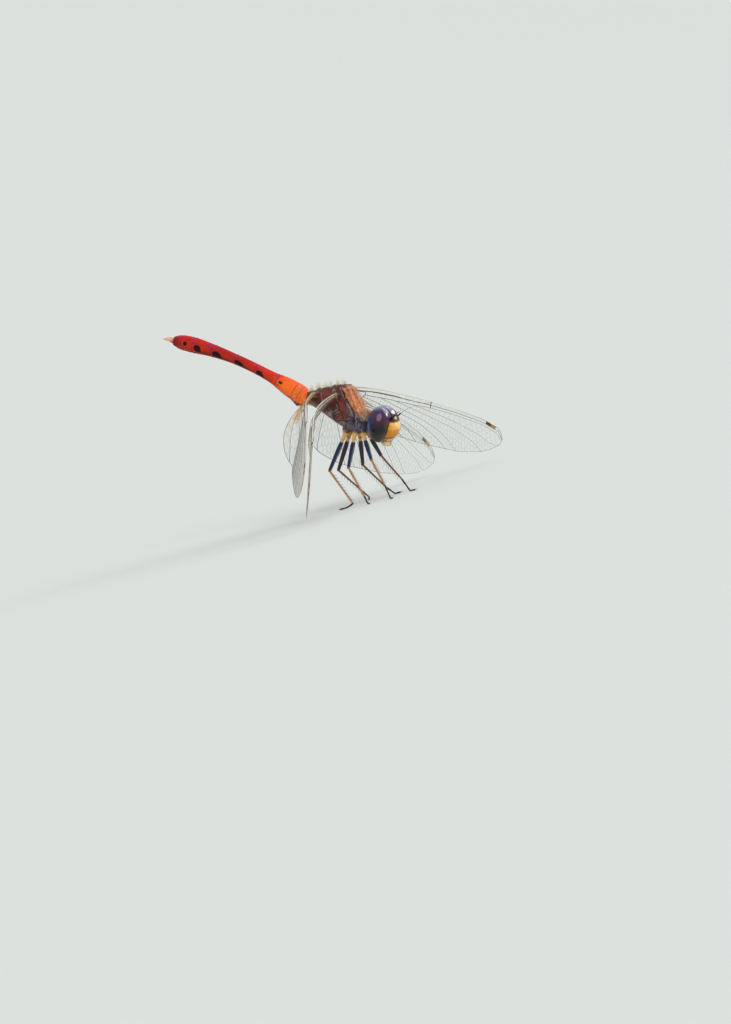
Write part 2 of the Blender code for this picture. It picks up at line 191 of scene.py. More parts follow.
def tube_faces(rows, columns):
    """Quads round a tube of rings, with a face over either end."""
    last = (rows - 1) * columns
    ends = [list(range(columns)), list(range(last + columns - 1, last - 1, -1))]
    return grid_faces(rows, columns, closed=True).tolist() + ends


def normals_of(points, faces):
    """The normals of a mesh's points, from its three- and four-cornered faces."""
    quads = np.array([face if len(face) == 4 else (*face, face[-1]) for face in faces])
    a, b, c, d = (points[quads[:, corner]] for corner in range(4))
    across = np.cross(c - a, d - b)
    normals = np.zeros_like(points)
    for corner in range(4):
        np.add.at(normals, quads[:, corner], across)
    return unit(normals)


def outward(obj):
    """Turns the faces of a closed mesh outward."""
    bm = bmesh.new()
    bm.from_mesh(obj.data)
    bmesh.ops.recalc_face_normals(bm, faces=bm.faces)
    bm.to_mesh(obj.data)
    bm.free()


def make_object(name, points, faces, material, paint, closed=True):
    """A smooth painted piece of the model, from points in the body's frame."""
    mesh = bpy.data.meshes.new(name)
    mesh.from_pydata(to_row(points).tolist(), [], [tuple(map(int, face)) for face in faces])
    mesh.update()
    mesh.shade_smooth()
    layer = mesh.color_attributes.new("paint", "FLOAT_COLOR", "POINT")
    full = np.ones((len(mesh.vertices), 4), np.float32)
    full[:, :3] = np.clip(paint, 0, 1)
    layer.data.foreach_set("color", full.ravel())
    obj = bpy.data.objects.new(name, mesh)
    bpy.context.scene.collection.objects.link(obj)
    mesh.materials.append(material)
    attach(obj, "root")
    if closed:
        outward(obj)
    return obj


class Rods:
    """Many tapering rods gathered into one mesh, each a ring of points round each stop of its path."""

    def __init__(self):
        self.points, self.faces, self.colours, self.count = [], [], [], 0

    def add(self, path, radii, colour, sides=6):
        """A rod in one colour, one for each stop, or one worked out from the way along and the rings."""
        path = np.asarray(path, float)
        along = unit(np.gradient(path, axis=0))
        up = (0.31, 0.17, 0.93) if abs(along[0][2]) < 0.8 else (0.93, 0.31, 0.17)
        ring = rings(along, up, sides)
        points = (path[:, None] + ring * np.broadcast_to(radii, len(path))[:, None, None]).reshape(-1, 3)
        start, end = self.count, self.count + len(points)
        self.faces += (grid_faces(len(path), sides, closed=True) + start).tolist()
        self.faces += [list(range(start + sides - 1, start - 1, -1)), list(range(end - sides, end))]
        if callable(colour):
            length = np.concatenate([[0], np.cumsum(np.linalg.norm(np.diff(path, axis=0), axis=1))])
            colour = colour((length / length[-1])[:, None], ring).reshape(-1, 3)
        elif rgb(colour).ndim == 2:
            colour = np.repeat(colour, sides, axis=0)
        self.colours.append(np.broadcast_to(rgb(colour), (len(points), 3)))
        self.points.append(points)
        self.count = end

    def build(self, name, material):
        points, colours = np.concatenate(self.points), np.concatenate(self.colours)
        return make_object(name, points, self.faces, material, colours)


# ---------------------------------------------------------------- materials


def new_material(name, roughness, **sockets):
    """A material with its sockets set by name, underscores standing for spaces."""
    made = bpy.data.materials.new(name)
    made.use_nodes = True
    shader = made.node_tree.nodes["Principled BSDF"]
    for socket, value in {"Roughness": roughness, **sockets}.items():
        shader.inputs[socket.replace("_", " ")].default_value = value
    return made, made.node_tree, shader


def add_node(tree, kind, **settings):
    """A node with its sockets and settings set by name, underscores standing for spaces in sockets."""
    node = tree.nodes.new(kind)
    for name, value in settings.items():
        socket = name.replace("_", " ")
        if socket in node.inputs:
            node.inputs[socket].default_value = value
        else:
            setattr(node, name, value)
    return node


def painted(tree, shader, speckle=0.0):
    """Base colour from the mesh's paint, broken up by fine noise where there is speckle."""
    join = tree.links.new
    paint = add_node(tree, "ShaderNodeAttribute", attribute_name="paint")
    if not speckle:
        join(paint.outputs["Color"], shader.inputs["Base Color"])
        return
    coordinates = add_node(tree, "ShaderNodeTexCoord")
    grain = add_node(tree, "ShaderNodeTexNoise", Scale=4000.0, Detail=4.0, Roughness=0.6)
    dark, light = 1 - speckle, 1 + speckle * 0.6
    shades = add_node(tree, "ShaderNodeMapRange", From_Min=0.3, From_Max=0.7, To_Min=dark, To_Max=light)
    scaled = add_node(tree, "ShaderNodeVectorMath", operation="SCALE")
    join(coordinates.outputs["Object"], grain.inputs["Vector"])
    join(grain.outputs["Fac"], shades.inputs["Value"])
    join(paint.outputs["Color"], scaled.inputs[0])
    join(shades.outputs["Result"], scaled.inputs["Scale"])
    join(scaled.outputs["Vector"], shader.inputs["Base Color"])


def bumped(tree, shader, scale, distance, facets=False):
    """Fine relief of noise, or of an eye's facets."""
    coordinates = add_node(tree, "ShaderNodeTexCoord")
    if facets:
        pattern = add_node(tree, "ShaderNodeTexVoronoi", Scale=scale)
    else:
        pattern = add_node(tree, "ShaderNodeTexNoise", Scale=scale, Detail=5.0)
    bump = add_node(tree, "ShaderNodeBump", Strength=1.0, Distance=distance)
    tree.links.new(coordinates.outputs["Object"], pattern.inputs["Vector"])
    tree.links.new(pattern.outputs["Distance" if facets else "Fac"], bump.inputs["Height"])
    tree.links.new(bump.outputs["Normal"], shader.inputs["Normal"])


def shell_material(name, roughness, speckle=0.12, bump=4e-6, coat=0.0, scatter=0.0, gloss=0.28):
    """The body's shell: painted, speckled and faintly rough, and where it scatters, light enters it."""
    made, tree, shader = new_material(
        name, roughness, Coat_Weight=coat, Coat_Roughness=0.2, Specular_IOR_Level=gloss,
        Subsurface_Weight=scatter, Subsurface_Radius=(1.0, 0.35, 0.15), Subsurface_Scale=0.0004,
    )
    painted(tree, shader, speckle)
    bumped(tree, shader, 9000.0, bump)
    return made


# ---------------------------------------------------------------- abdomen

ABDOMEN_START = np.array((-5.3, 0.0, -1.33))
ABDOMEN_LENGTH = 18.95
ABDOMEN_RISE = (math.radians(25.5), math.radians(3))
ABDOMEN_LEVELLING = 1.35
ABDOMEN_WIDTHS = (
    (0, 0.9), (0.04, 1.0), (0.08, 1.03), (0.14, 1.02), (0.19, 0.9), (0.25, 0.72), (0.33, 0.6), (0.45, 0.58),
    (0.57, 0.62), (0.66, 0.7), (0.74, 0.8), (0.83, 0.9), (0.9, 0.88), (0.955, 0.74), (1, 0.48),
)
ABDOMEN_HEIGHTS = (
    (0, 1.04), (0.04, 1.16), (0.08, 1.14), (0.14, 1.06), (0.19, 0.9), (0.25, 0.73), (0.33, 0.66),
    (0.45, 0.64), (0.57, 0.66), (0.66, 0.74), (0.74, 0.82),
    (0.83, 0.95), (0.9, 0.96), (0.955, 0.85), (1, 0.58),
)
SHELL_STOPS, SHELL_AROUND = 420, 96
SHELL_INSET = 0.03  # how far the shell lies inside the solids' outline
SHELL_FRONT = -0.03  # the share of the length where it starts, hidden in the thorax
JOINTS = (0.03, 0.07, 0.208, 0.377, 0.543, 0.708, 0.845, 0.932, 0.974)  # rear ends of segments 1 to 9
SPOTS = (  # (rear end, length, angle from the back in degrees, half breadth) of the black marks
    (0.193, 0.033, 75, 12), (0.369, 0.064, 98, 28), (0.534, 0.075, 97, 31),
    (0.699, 0.071, 96, 31), (0.833, 0.056, 91, 27), (0.913, 0.03, 81, 17),
)
LEFT = np.array((0.0, 1.0, 0.0))


def abdomen_tilt(share):
    """The abdomen's rise over the body's plane, which levels out to its tip."""
    first, last = ABDOMEN_RISE
    return first + (last - first) * np.clip(share, 0, 1) ** ABDOMEN_LEVELLING


def abdomen_line(shares):
    """Places on the abdomen's middle line, running on straight ahead of its start, and its tilt there."""
    fine = np.linspace(0, 1.2, 481)
    tilt = abdomen_tilt((fine[:-1] + fine[1:]) / 2)
    back = np.stack([-np.cos(tilt), 0 * tilt, np.sin(tilt)], axis=1)
    steps = back * ABDOMEN_LENGTH * np.diff(fine)[:, None]
    line = np.vstack([np.zeros(3), np.cumsum(steps, axis=0)]) + ABDOMEN_START
    before = np.minimum(shares, 0)[:, None] * ABDOMEN_LENGTH
    first = ABDOMEN_RISE[0]
    places = read_line(shares, fine, line) + before * np.array((-math.cos(first), 0, math.sin(first)))
    return places, abdomen_tilt(shares)


def abdomen_relief(share, angle):
    """How far the shell stands out from its plain form, in millimetres; angle is degrees from the back."""
    height = 0.028 * bell(angle, 0, 7) + 0.02 * bell(angle, 121, 6) - 0.035 * bell(angle, 138, 8)
    height = height * ramp(share, 0.05, 0.2)
    for joint in JOINTS:
        along = (share - joint) * ABDOMEN_LENGTH
        height += 0.03 * bell(along, -0.09, 0.09) - 0.055 * bell(along, 0.05, 0.055)
    height += 0.34 * bell(share, 0.026, 0.03) * bell(angle, 180, 36)  # the lobe under the second segment
    for place in (0.1, 0.135, 0.28):
        height += 0.016 * bell((share - place) * ABDOMEN_LENGTH, 0, 0.05) * ramp(150 - angle, 0, 40)
    return height


def spot_coats(share, angle, wobble):
    """A haze, a tail down the flank and the black mark itself, for each of the spots."""
    for end, length, middle, breadth in SPOTS:
        large = length > 0.04
        back = (end - share) / length  # 0 at the rear end and 1 at the mark's front
        centre = middle + 16 * np.clip(back, 0, 1.6) * large
        swell = np.clip(1 - (2 * back - 0.8) ** 2 / np.where(back < 0.4, 0.64, 1.44), 0, 1)
        half = breadth * np.sqrt(swell) + 1e-6
        inside = ramp(half - np.abs(angle - centre) + 2.5 * wobble, -2, 5) * (back > -0.02) * (back < 1.05)
        tail = bell(angle, 120, 8) * ramp(back, 0.4, 0.8) * ramp(2.4 - back, 0, 1.0) * 0.85
        haze = bell(angle, middle - breadth * 0.9, 16) * bell(back, 0.25, 0.7)
        yield "8E1E3C", haze * 0.5 * large
        yield "2A0A0A", tail * large
        yield "14060A", inside * 0.97


def abdomen_colours(points, share, angle):
    """Orange ahead, red behind, darker down the middle and at the joints, with the black spots."""
    hind = ramp(share, 0.72, 0.84)
    flank = mix("FF7A22", "C8380C", ramp(share, 0.12, 0.26))
    colours = coated(
        mix("FF641A", "D8300F", ramp(share, 0.13, 0.24)),
        ("9E140A", ramp(share, 0.3, 0.5) * (1 - hind) * 0.9),
        ("C01A08", hind * (1 - ramp(share, 0.92, 0.96))),
        (flank, bell(angle, 85, 32) * (0.85 - 0.35 * ramp(share, 0.2, 0.4))),
        ("D01C3C", bell(angle, 0, 45) * 0.22 * ramp(share, 0.12, 0.3)),
        ("B42208", bell(angle, 0, 16) * 0.35),
        ("8E2C1A", ramp(angle, 124, 140) * 0.75),
        ("5A1E18", bell(angle, 138, 7) * 0.7),
    )
    for joint in JOINTS:
        along = (share - joint) * ABDOMEN_LENGTH
        colours = coated(
            colours,
            ("B02A58", bell(along, 0.1, 0.36) * bell(angle, 20, 45) * 0.6 * ramp(share, 0.15, 0.2)),
            ("7A1712", bell(along, 0.04, 0.05) * 0.75),
        )
    colours = coated(
        colours,
        ("6A1614", ramp(share, 0.915, 0.97) * (0.35 + 0.4 * ramp(angle, 25, 70))),
        ("5E120E", bell(share, 0.026, 0.034) * ramp(angle, 128, 150) * 0.85),
    )
    grain = waves(points, 2.6, 3) * 0.5 + 0.5 * waves(points, 9.0, 4)
    spots = spot_coats(share, angle, waves(points, 5.0, 8))
    colours = coated(colours * (1 + 0.09 * grain[..., None]), *spots)
    return coated(colours, ("5E100E", bell(angle, 102, 5) * bell(share, 0.188, 0.006) * 0.85))


def add_abdomen():
    """One shell for the whole abdomen; its points and normals are given on for the hair."""
    made = shell_material("abdomen_shell", 0.42, speckle=0.16, bump=5e-6, coat=0.04, scatter=0.1, gloss=0.12)
    shares = np.linspace(SHELL_FRONT, 1.0, SHELL_STOPS)
    places, tilt = abdomen_line(shares)
    inner, opening = np.clip(shares, 0, 1), ramp(shares, SHELL_FRONT, 0.01)
    half_width = smooth_curve(ABDOMEN_WIDTHS, inner) * (0.9 + 0.1 * opening) - SHELL_INSET
    half_height = smooth_curve(ABDOMEN_HEIGHTS, inner) * (0.85 + 0.15 * opening) - SHELL_INSET
    turn, flat, tall = rounded_ring(SHELL_AROUND, squareness=2.2, pinch_top=0.108, pinch_belly=0)
    angle = np.degrees(np.abs(np.arctan2(np.sin(turn), np.cos(turn))))
    share_grid, angle_grid = np.meshgrid(shares, angle, indexing="ij")
    relief = abdomen_relief(share_grid, angle_grid)
    sideways = half_width[:, None] * flat + relief * np.sin(turn)
    upward = half_height[:, None] * tall + relief * np.cos(turn)
    up = np.stack([np.sin(tilt), 0 * tilt, np.cos(tilt)], axis=1)
    points = (places[:, None] + sideways[..., None] * LEFT + upward[..., None] * up[:, None]).reshape(-1, 3)
    colours = abdomen_colours(points, share_grid.ravel(), angle_grid.ravel())
    faces = tube_faces(SHELL_STOPS, SHELL_AROUND)
    skin = make_object("abdomen_skin", points, faces, made, colours)
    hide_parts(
        "abdomen_segments_1_3", "abdomen_segments_4_5", "abdomen_segments_6_7", "abdomen_segments_8_10"
    )
    add_tail()
    return points, normals_of(points, faces[:-2])


def add_tail():
    """The pair of upper appendages and the single lower one."""
    made = shell_material("tail_piece", 0.42, speckle=0.1, scatter=0.3)
    (end,), (tilt,) = abdomen_line(np.array([0.985]))
    back = np.array((-math.cos(tilt), 0, math.sin(tilt)))
    up = np.array((math.sin(tilt), 0, math.cos(tilt)))
    reach = abs(from_row(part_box("cercus_left")[0])[0] - end[0]) - 0.06
    for name, sign in SIDES:
        t = np.linspace(0, 1, 22)
        path = end + back * (t * reach)[:, None] + up * (0.12 + 0.1 * t - 0.14 * t**3)[:, None]
        path += LEFT * (sign * (0.2 + 0.16 * np.sin(t * 2.6)))[:, None]
        radii = 0.15 * np.sqrt(np.clip(1 - t**3.2, 0, 1)) * (0.75 + 0.45 * np.sin(t * 2.7)) + 0.006
        colour = coated(mix("C8503A", "E3B190", ramp(t, 0.0, 0.4)), ("B5725A", ramp(t, 0.85, 1.0) * 0.7))
        rods = Rods()
        rods.add(path, radii, colour, sides=16)
        piece = rods.build(f"tail_{name}", made)
        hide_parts(f"cercus_{name}")
    t = np.linspace(0, 1, 14)
    rods = Rods()
    path = end + back * (t * reach * 0.62)[:, None] - up * (0.2 - 0.16 * t**2)[:, None]
    rods.add(path, 0.17 * np.sqrt(np.clip(1 - t**3, 0, 1)) + 0.006, mix("B8442E", "D99A76", t), sides=16)
    rods.build("tail_lower", made)


# ---------------------------------------------------------------- wings

# Edges are (share of the span, share of the span ahead of the axis). A vein's way is (share of the span,
# share of the breadth behind the front edge), from where it leaves the vein before it.
FOREWING = {
    "span": 25.0,
    "front": ((0, 0), (0.3, 0.012), (0.53, 0.012), (0.75, 0), (0.9, -0.022), (0.97, -0.05), (1, -0.085)),
    "rear": (
        (0, -0.04), (0.08, -0.11), (0.25, -0.175), (0.45, -0.198),
        (0.65, -0.203), (0.85, -0.188), (0.95, -0.155), (1, -0.115),
    ),
    "root": (0.25, 2.2, 0.0),
    "nodus": 0.53,
    "stigma": (0.872, 0.932),
    "arculus": 0.14,
    "triangle": 0.014,
    "veins": {
        "costa": ((0, 0.0), (1, 0.0)),
        "subcosta": ((0, 0.15), (0.1, 0.09), (0.3, 0.066), (0.5, 0.05), (0.53, 0.0), (1, 0.0)),
        "radius": (
            (0, 0.3), (0.05, 0.2), (0.15, 0.135), (0.3, 0.105),
            (0.53, 0.085), (0.7, 0.08), (0.87, 0.09), (1, 0.13),
        ),
        "sector_1": (
            (0.14, 0.25), (0.3, 0.2), (0.45, 0.165), (0.53, 0.14),
            (0.7, 0.135), (0.87, 0.16), (0.95, 0.22), (1, 0.34),
        ),
        "sector_2": (
            (0.42, 0.17), (0.53, 0.215), (0.65, 0.27), (0.8, 0.38), (0.9, 0.54), (0.97, 0.8), (1, 1),
        ),
        "between_2": ((0.33, 0.195), (0.45, 0.28), (0.6, 0.38), (0.75, 0.52), (0.86, 0.74), (0.92, 1)),
        "sector_3": ((0.25, 0.22), (0.4, 0.36), (0.55, 0.49), (0.68, 0.7), (0.78, 1)),
        "media": ((0.14, 0.33), (0.27, 0.39), (0.4, 0.47), (0.55, 0.62), (0.66, 0.84), (0.72, 1)),
        "media_rear": ((0.27, 0.56), (0.36, 0.63), (0.46, 0.76), (0.54, 1)),
        "cubitus": ((0, 0.5), (0.1, 0.44), (0.22, 0.5), (0.27, 0.56), (0.33, 0.72), (0.4, 0.88), (0.46, 1)),
        "anal": ((0, 0.75), (0.1, 0.7), (0.18, 0.8), (0.26, 1)),
    },
}
HINDWING = {
    "span": 23.8,
    "front": ((0, 0), (0.2, 0.01), (0.42, 0.015), (0.7, 0), (0.88, -0.03), (0.96, -0.06), (1, -0.095)),
    "rear": (
        (0, -0.05), (0.05, -0.2), (0.12, -0.3), (0.22, -0.33), (0.35, -0.325),
        (0.55, -0.295), (0.75, -0.25), (0.88, -0.205), (0.96, -0.16), (1, -0.125),
    ),
    "root": (-2.6, 2.3, -0.1),
    "nodus": 0.42,
    "stigma": (0.865, 0.93),
    "arculus": 0.12,
    "triangle": 0.06,
    "veins": {
        "costa": ((0, 0.0), (1, 0.0)),
        "subcosta": ((0, 0.12), (0.1, 0.055), (0.3, 0.042), (0.39, 0.035), (0.42, 0.0), (1, 0.0)),
        "radius": (
            (0, 0.24), (0.05, 0.12), (0.15, 0.085), (0.3, 0.068),
            (0.42, 0.062), (0.7, 0.075), (0.87, 0.09), (1, 0.13),
        ),
        "sector_1": (
            (0.12, 0.14), (0.3, 0.125), (0.42, 0.105), (0.7, 0.125), (0.87, 0.16), (0.95, 0.22), (1, 0.34),
        ),
        "sector_2": ((0.36, 0.115), (0.5, 0.18), (0.65, 0.26), (0.8, 0.38), (0.9, 0.54), (0.97, 0.8), (1, 1)),
        "between_2": ((0.28, 0.127), (0.42, 0.2), (0.6, 0.34), (0.75, 0.52), (0.86, 0.75), (0.91, 1)),
        "sector_3": ((0.2, 0.137), (0.35, 0.24), (0.5, 0.38), (0.65, 0.64), (0.75, 1)),
        "media": ((0.12, 0.18), (0.2, 0.21), (0.35, 0.32), (0.5, 0.51), (0.6, 0.76), (0.67, 1)),
        "media_rear": ((0.17, 0.28), (0.25, 0.37), (0.35, 0.56), (0.42, 0.76), (0.48, 1)),
        "cubitus": ((0, 0.4), (0.1, 0.25), (0.17, 0.28), (0.25, 0.45), (0.32, 0.72), (0.36, 1)),
        "anal": ((0, 0.55), (0.08, 0.36), (0.15, 0.43), (0.2, 0.6), (0.24, 0.8), (0.27, 1)),
        "anal_rear": ((0, 0.7), (0.05, 0.5), (0.1, 0.64), (0.13, 0.82), (0.155, 1)),
    },
}
VEIN_FORMS = {  # height on the folded blade, and radius in millimetres on the forewing and the hindwing
    "costa": (0.6, 0.064, 0.06), "subcosta": (-1.0, 0.05, 0.048), "radius": (1.0, 0.06, 0.058),
    "sector_1": (-0.7, 0.042, 0.042), "sector_2": (-0.3, 0.034, 0.034), "between_2": (0.3, 0.032, 0.032),
    "sector_3": (-0.3, 0.032, 0.032), "media": (0.3, 0.034, 0.034), "media_rear": (-0.3, 0.034, 0.034),
    "cubitus": (0.3, 0.036, 0.036), "anal": (-0.2, 0.032, 0.032), "anal_rear": (0.2, 0.03, 0.03),
}
POSES = {  # (sweep, droop, turn in degrees from root to tip, share of the span where they settle)
    "forewing_left": ((-7, 29), (12.5, 17.5), (47, 72.5), 0.34),
    "forewing_right": ((-7, 28.3), (12.5, 17.5), (50, 84), 0.34),
    "hindwing_right": ((2, 30.3), (13, 10.5), (42, 78), 0.19),
    "hindwing_left": ((4.5, 5.5), (26.5, 24), (53, 96), 0.37),
}
FINE_STEPS = 800  # into which the span is cut for every curve of a wing
FOLD_DEPTH = 0.15  # of the folds near the root; this and the lengths below are in millimetres
FOLD_LEAST = 0.015
FILM_GRID = (260, 64)  # stops of the membrane along the span and across it
FILM_HALF = 0.004  # half of the membrane's thickness
FILM_RIPPLE = 0.012
STIGMA_PUFF = 0.05
CELL = 0.56  # the usual breadth of a cell
CELL_EDGES = (0.03, 1.9)  # the shortest and the longest small vein
NARROWEST = 0.09  # the least room between lengthwise veins for small ones
THINNEST = 0.017  # a lengthwise vein's least radius
CROSSING_RADII = {"tip": 0.026, "arculus": 0.04, "nodus": 0.045, "triangle": 0.034, "stigma": 0.04}
EDGE = 0.9995  # the share of the span where the edge at the tip runs
DARK_VEIN = "2A1812"


class Wing:
    """A wing's blade: from shares u of the span and q of the breadth to places in the body's frame."""

    def __init__(self, name):
        self.hind = name.startswith("hind")
        self.side = 1 if name.endswith("left") else -1
        self.kind = HINDWING if self.hind else FOREWING
        self.span = self.kind["span"]
        self.fine = np.linspace(0, 1, FINE_STEPS + 1)
        sweep, droop, turn, reach = POSES[name]

        def at(shares):
            eased = ramp(shares, 0, reach)
            a, b, c = (np.radians(start + (end - start) * eased) for start, end in (sweep, droop, turn))
            out = np.stack([np.sin(a) * np.cos(b), np.cos(a) * np.cos(b), -np.sin(b)], axis=1)
            level = np.stack([np.cos(a), -np.sin(a), 0 * a], axis=1)
            return out, level * np.cos(c)[:, None] + np.cross(level, out) * np.sin(c)[:, None]

        out, _ = at((self.fine[:-1] + self.fine[1:]) / 2)
        steps = out * self.span * np.diff(self.fine)[:, None]
        self.axis = np.vstack([np.zeros(3), np.cumsum(steps, axis=0)]) + np.array(self.kind["root"])
        out, self.forward = at(self.fine)
        self.normal = unit(np.cross(self.forward, out))
        self.front, self.rear = (smooth_curve(self.kind[edge], self.fine) for edge in ("front", "rear"))
        self.veins = list(self.kind["veins"])
        ways = []
        for points in self.kind["veins"].values():
            way = np.clip(smooth_curve(points, self.fine), 0, 1)
            way[self.fine < points[0][0]] = 0
            ways.append(way)
        self.ways = np.maximum.accumulate(ways)  # a vein never lies ahead of the one before it
        self.heights = np.array([VEIN_FORMS[vein][0] for vein in self.veins] + [0.0])

    def way(self, vein, u):
        """The share of the breadth at which a vein runs."""
        return np.interp(u, self.fine, self.ways[self.veins.index(vein)])

    def place(self, u, q, lift=0.0):
        """Places on the folded blade, raised along its normal by lift."""
        u, q = np.broadcast_arrays(np.asarray(u, float), np.asarray(q, float))
        front, rear = (np.interp(u, self.fine, edge) for edge in (self.front, self.rear))
        lines = (self.axis, self.forward, self.normal)
        axis, forward, normal = (read_line(u, self.fine, line) for line in lines)
        ahead = (front + (rear - front) * q) * self.span
        point = axis + forward * ahead[..., None] + normal * (lift + self.fold(u, q))[..., None]
        return point * np.array((1, self.side, 1))

    def fold(self, u, q):
        """The blade's folds: high and low veins by turns, fading to the tip and the rear edge."""
        depth = FOLD_DEPTH * (1 - u) ** 0.7 * ramp(u, 0, 0.03) + FOLD_LEAST
        ways = read_line(u.ravel(), self.fine, self.ways.T)
        ways = np.hstack([ways, np.ones((len(ways), 1))])
        across = q.ravel()
        after = np.clip((ways <= across[:, None]).sum(axis=1), 1, ways.shape[1] - 1)
        rows = np.arange(len(across))
        start, end = ways[rows, after - 1], ways[rows, after]
        t = np.clip((across - start) / np.maximum(end - start, 1e-6), 0, 1)
        height = self.heights[after - 1] * (1 - t) + self.heights[after] * t
        return depth * height.reshape(u.shape) * (1 - 0.6 * q)


def cell_seeds(wing, number, width):
    """The middles of the cells behind a lengthwise vein: place along, share across, rows there and row."""
    arculus = wing.kind["arculus"]
    bare = {  # stretches with no small veins
        "costa": (wing.kind["nodus"], 1), "subcosta": wing.kind["stigma"], "radius": (0, arculus * 0.98),
        "sector_1": (0, arculus * 0.98), "media": (0, arculus + 0.1),
    }
    start, end = bare.get(wing.veins[number], (0, 0))
    usable = (width > NARROWEST) & (wing.fine > 0.025) & (wing.fine < 0.995)
    usable &= (wing.fine < start) | (wing.fine > end)
    paces = {"costa": 1.05, "subcosta": 1.0, "radius": 0.95, "sector_1": 0.8}
    pace = paces.get(wing.veins[number], CELL * 0.92) / wing.span
    own = np.random.default_rng(50 + number + 20 * wing.hind)
    seeds = []
    u = wing.fine[usable][0] if usable.any() else 1
    while u < 1:
        at = int(u * FINE_STEPS)
        if usable[at]:
            rows = max(1, int(round(width[at] / (CELL if u < 0.75 else CELL * 0.85))))
            for row in range(rows):
                shift = 0.0 if rows == 1 else (0.25 if row % 2 else -0.25)
                along = (u + (shift + own.uniform(-0.09, 0.09)) * pace) * wing.span
                across = (row + 0.5 + own.uniform(-0.1, 0.1) * (rows > 1)) / rows
                seeds.append((along, across, rows, row))
        u += pace * own.uniform(0.92, 1.08)
    return seeds


def circle_centres(corners):
    """The centres of the circles through triangles' corners, or their middles where they are flat."""
    (ax, ay), (bx, by), (cx, cy) = corners.transpose(1, 2, 0)
    double = 2 * (ax * (by - cy) + bx * (cy - ay) + cx * (ay - by))
    flat = np.abs(double) < 1e-9
    double[flat] = 1
    a, b, c = ax * ax + ay * ay, bx * bx + by * by, cx * cx + cy * cy
    x = (a * (by - cy) + b * (cy - ay) + c * (ay - by)) / double
    y = (a * (cx - bx) + b * (ax - cx) + c * (bx - ax)) / double
    middle = corners.mean(axis=1)
    return np.where(flat, middle[:, 0], x), np.where(flat, middle[:, 1], y)


def cell_lines(wing, number):
    """The small veins behind a lengthwise vein, as the shares u and q of their two ends.

    They are the borders between the seeds' own ground. Seeds mirrored in the lengthwise veins on either
    side make the borders meet those squarely.
    """
    upper = wing.ways[number]
    lower = wing.ways[number + 1] if number + 1 < len(wing.ways) else np.ones_like(upper)
    width = (lower - upper) * (wing.front - wing.rear) * wing.span
    seeds = cell_seeds(wing, number, width)
    if len(seeds) < 3:
        return []

    def wide(along):
        return np.interp(along / wing.span, wing.fine, width)

    points, sorts = [], []  # sorts: 0 a seed, 1 and 2 mirrored in the upper and the lower vein
    for along, across, rows, row in seeds:
        mirrored = (-across, 1, row == 0), (2 - across, 2, row == rows - 1)
        for share, sort, wanted in ((across, 0, True), *mirrored):
            if wanted:
                points.append(Vector((along, share * wide(along))))
                sorts.append(sort)
    found, _, faces, origins = geometry.delaunay_2d_cdt(points, [], [], 0, 1e-7)[:4]
    sorts = np.array([sorts[origin[0]] if origin else 0 for origin in origins])
    faces = np.array([face[:3] for face in faces])
    x, y = circle_centres(np.array([tuple(point) for point in found])[faces])
    along = np.clip(x, 0, wing.span)
    share = y / np.maximum(wide(along), 0.02)
    above, below = ((sorts[faces] == sort).any(axis=1) for sort in (1, 2))
    share[above | (share < 0.04)] = 0
    share[(below & ~(above & (y < wide(along) / 2))) | (share > 0.96)] = 1
    edges = {}
    for face, corners in enumerate(faces.tolist()):
        for pair in zip(corners, corners[1:] + corners[:1]):
            edges.setdefault(tuple(sorted(pair)), []).append(face)
    lines = []
    for (first, second), sides in edges.items():
        if len(sides) != 2 or sorts[first] or sorts[second]:
            continue
        gap = math.hypot(np.ptp(along[sides]), np.ptp(share[sides]) * wide(along[sides].mean()))
        if CELL_EDGES[0] <= gap <= CELL_EDGES[1]:
            u = along[sides] / wing.span
            top, bottom = (np.interp(u, wing.fine, way) for way in (upper, lower))
            lines.append((u, top + (bottom - top) * share[sides]))
    return lines


def vein_colour(u, hind, vein=""):
    """Brown to grey along the span, amber at the root, with a pale front edge and pale small veins."""
    if vein == "small":
        return mix("C4C0BC", "D0A22A" if hind else "9A8466", (1 - ramp(u, 0.04, 0.16)) * 0.8)
    if vein == "costa":
        edge = mix("D8D0B8", "94805E", ramp(u, 0.6, 0.95))
        return mix(edge, "A2937A", (1 - ramp(u, 0.06, 0.3)) * 0.8)
    colour = mix("6E5E54", "B8861C" if hind else "8A5020", (1 - ramp(u, 0.02, 0.16)) * (0.6 if hind else 0.3))
    return mix(colour, "938A84", ramp(u, 0.15, 0.6) * 0.85)


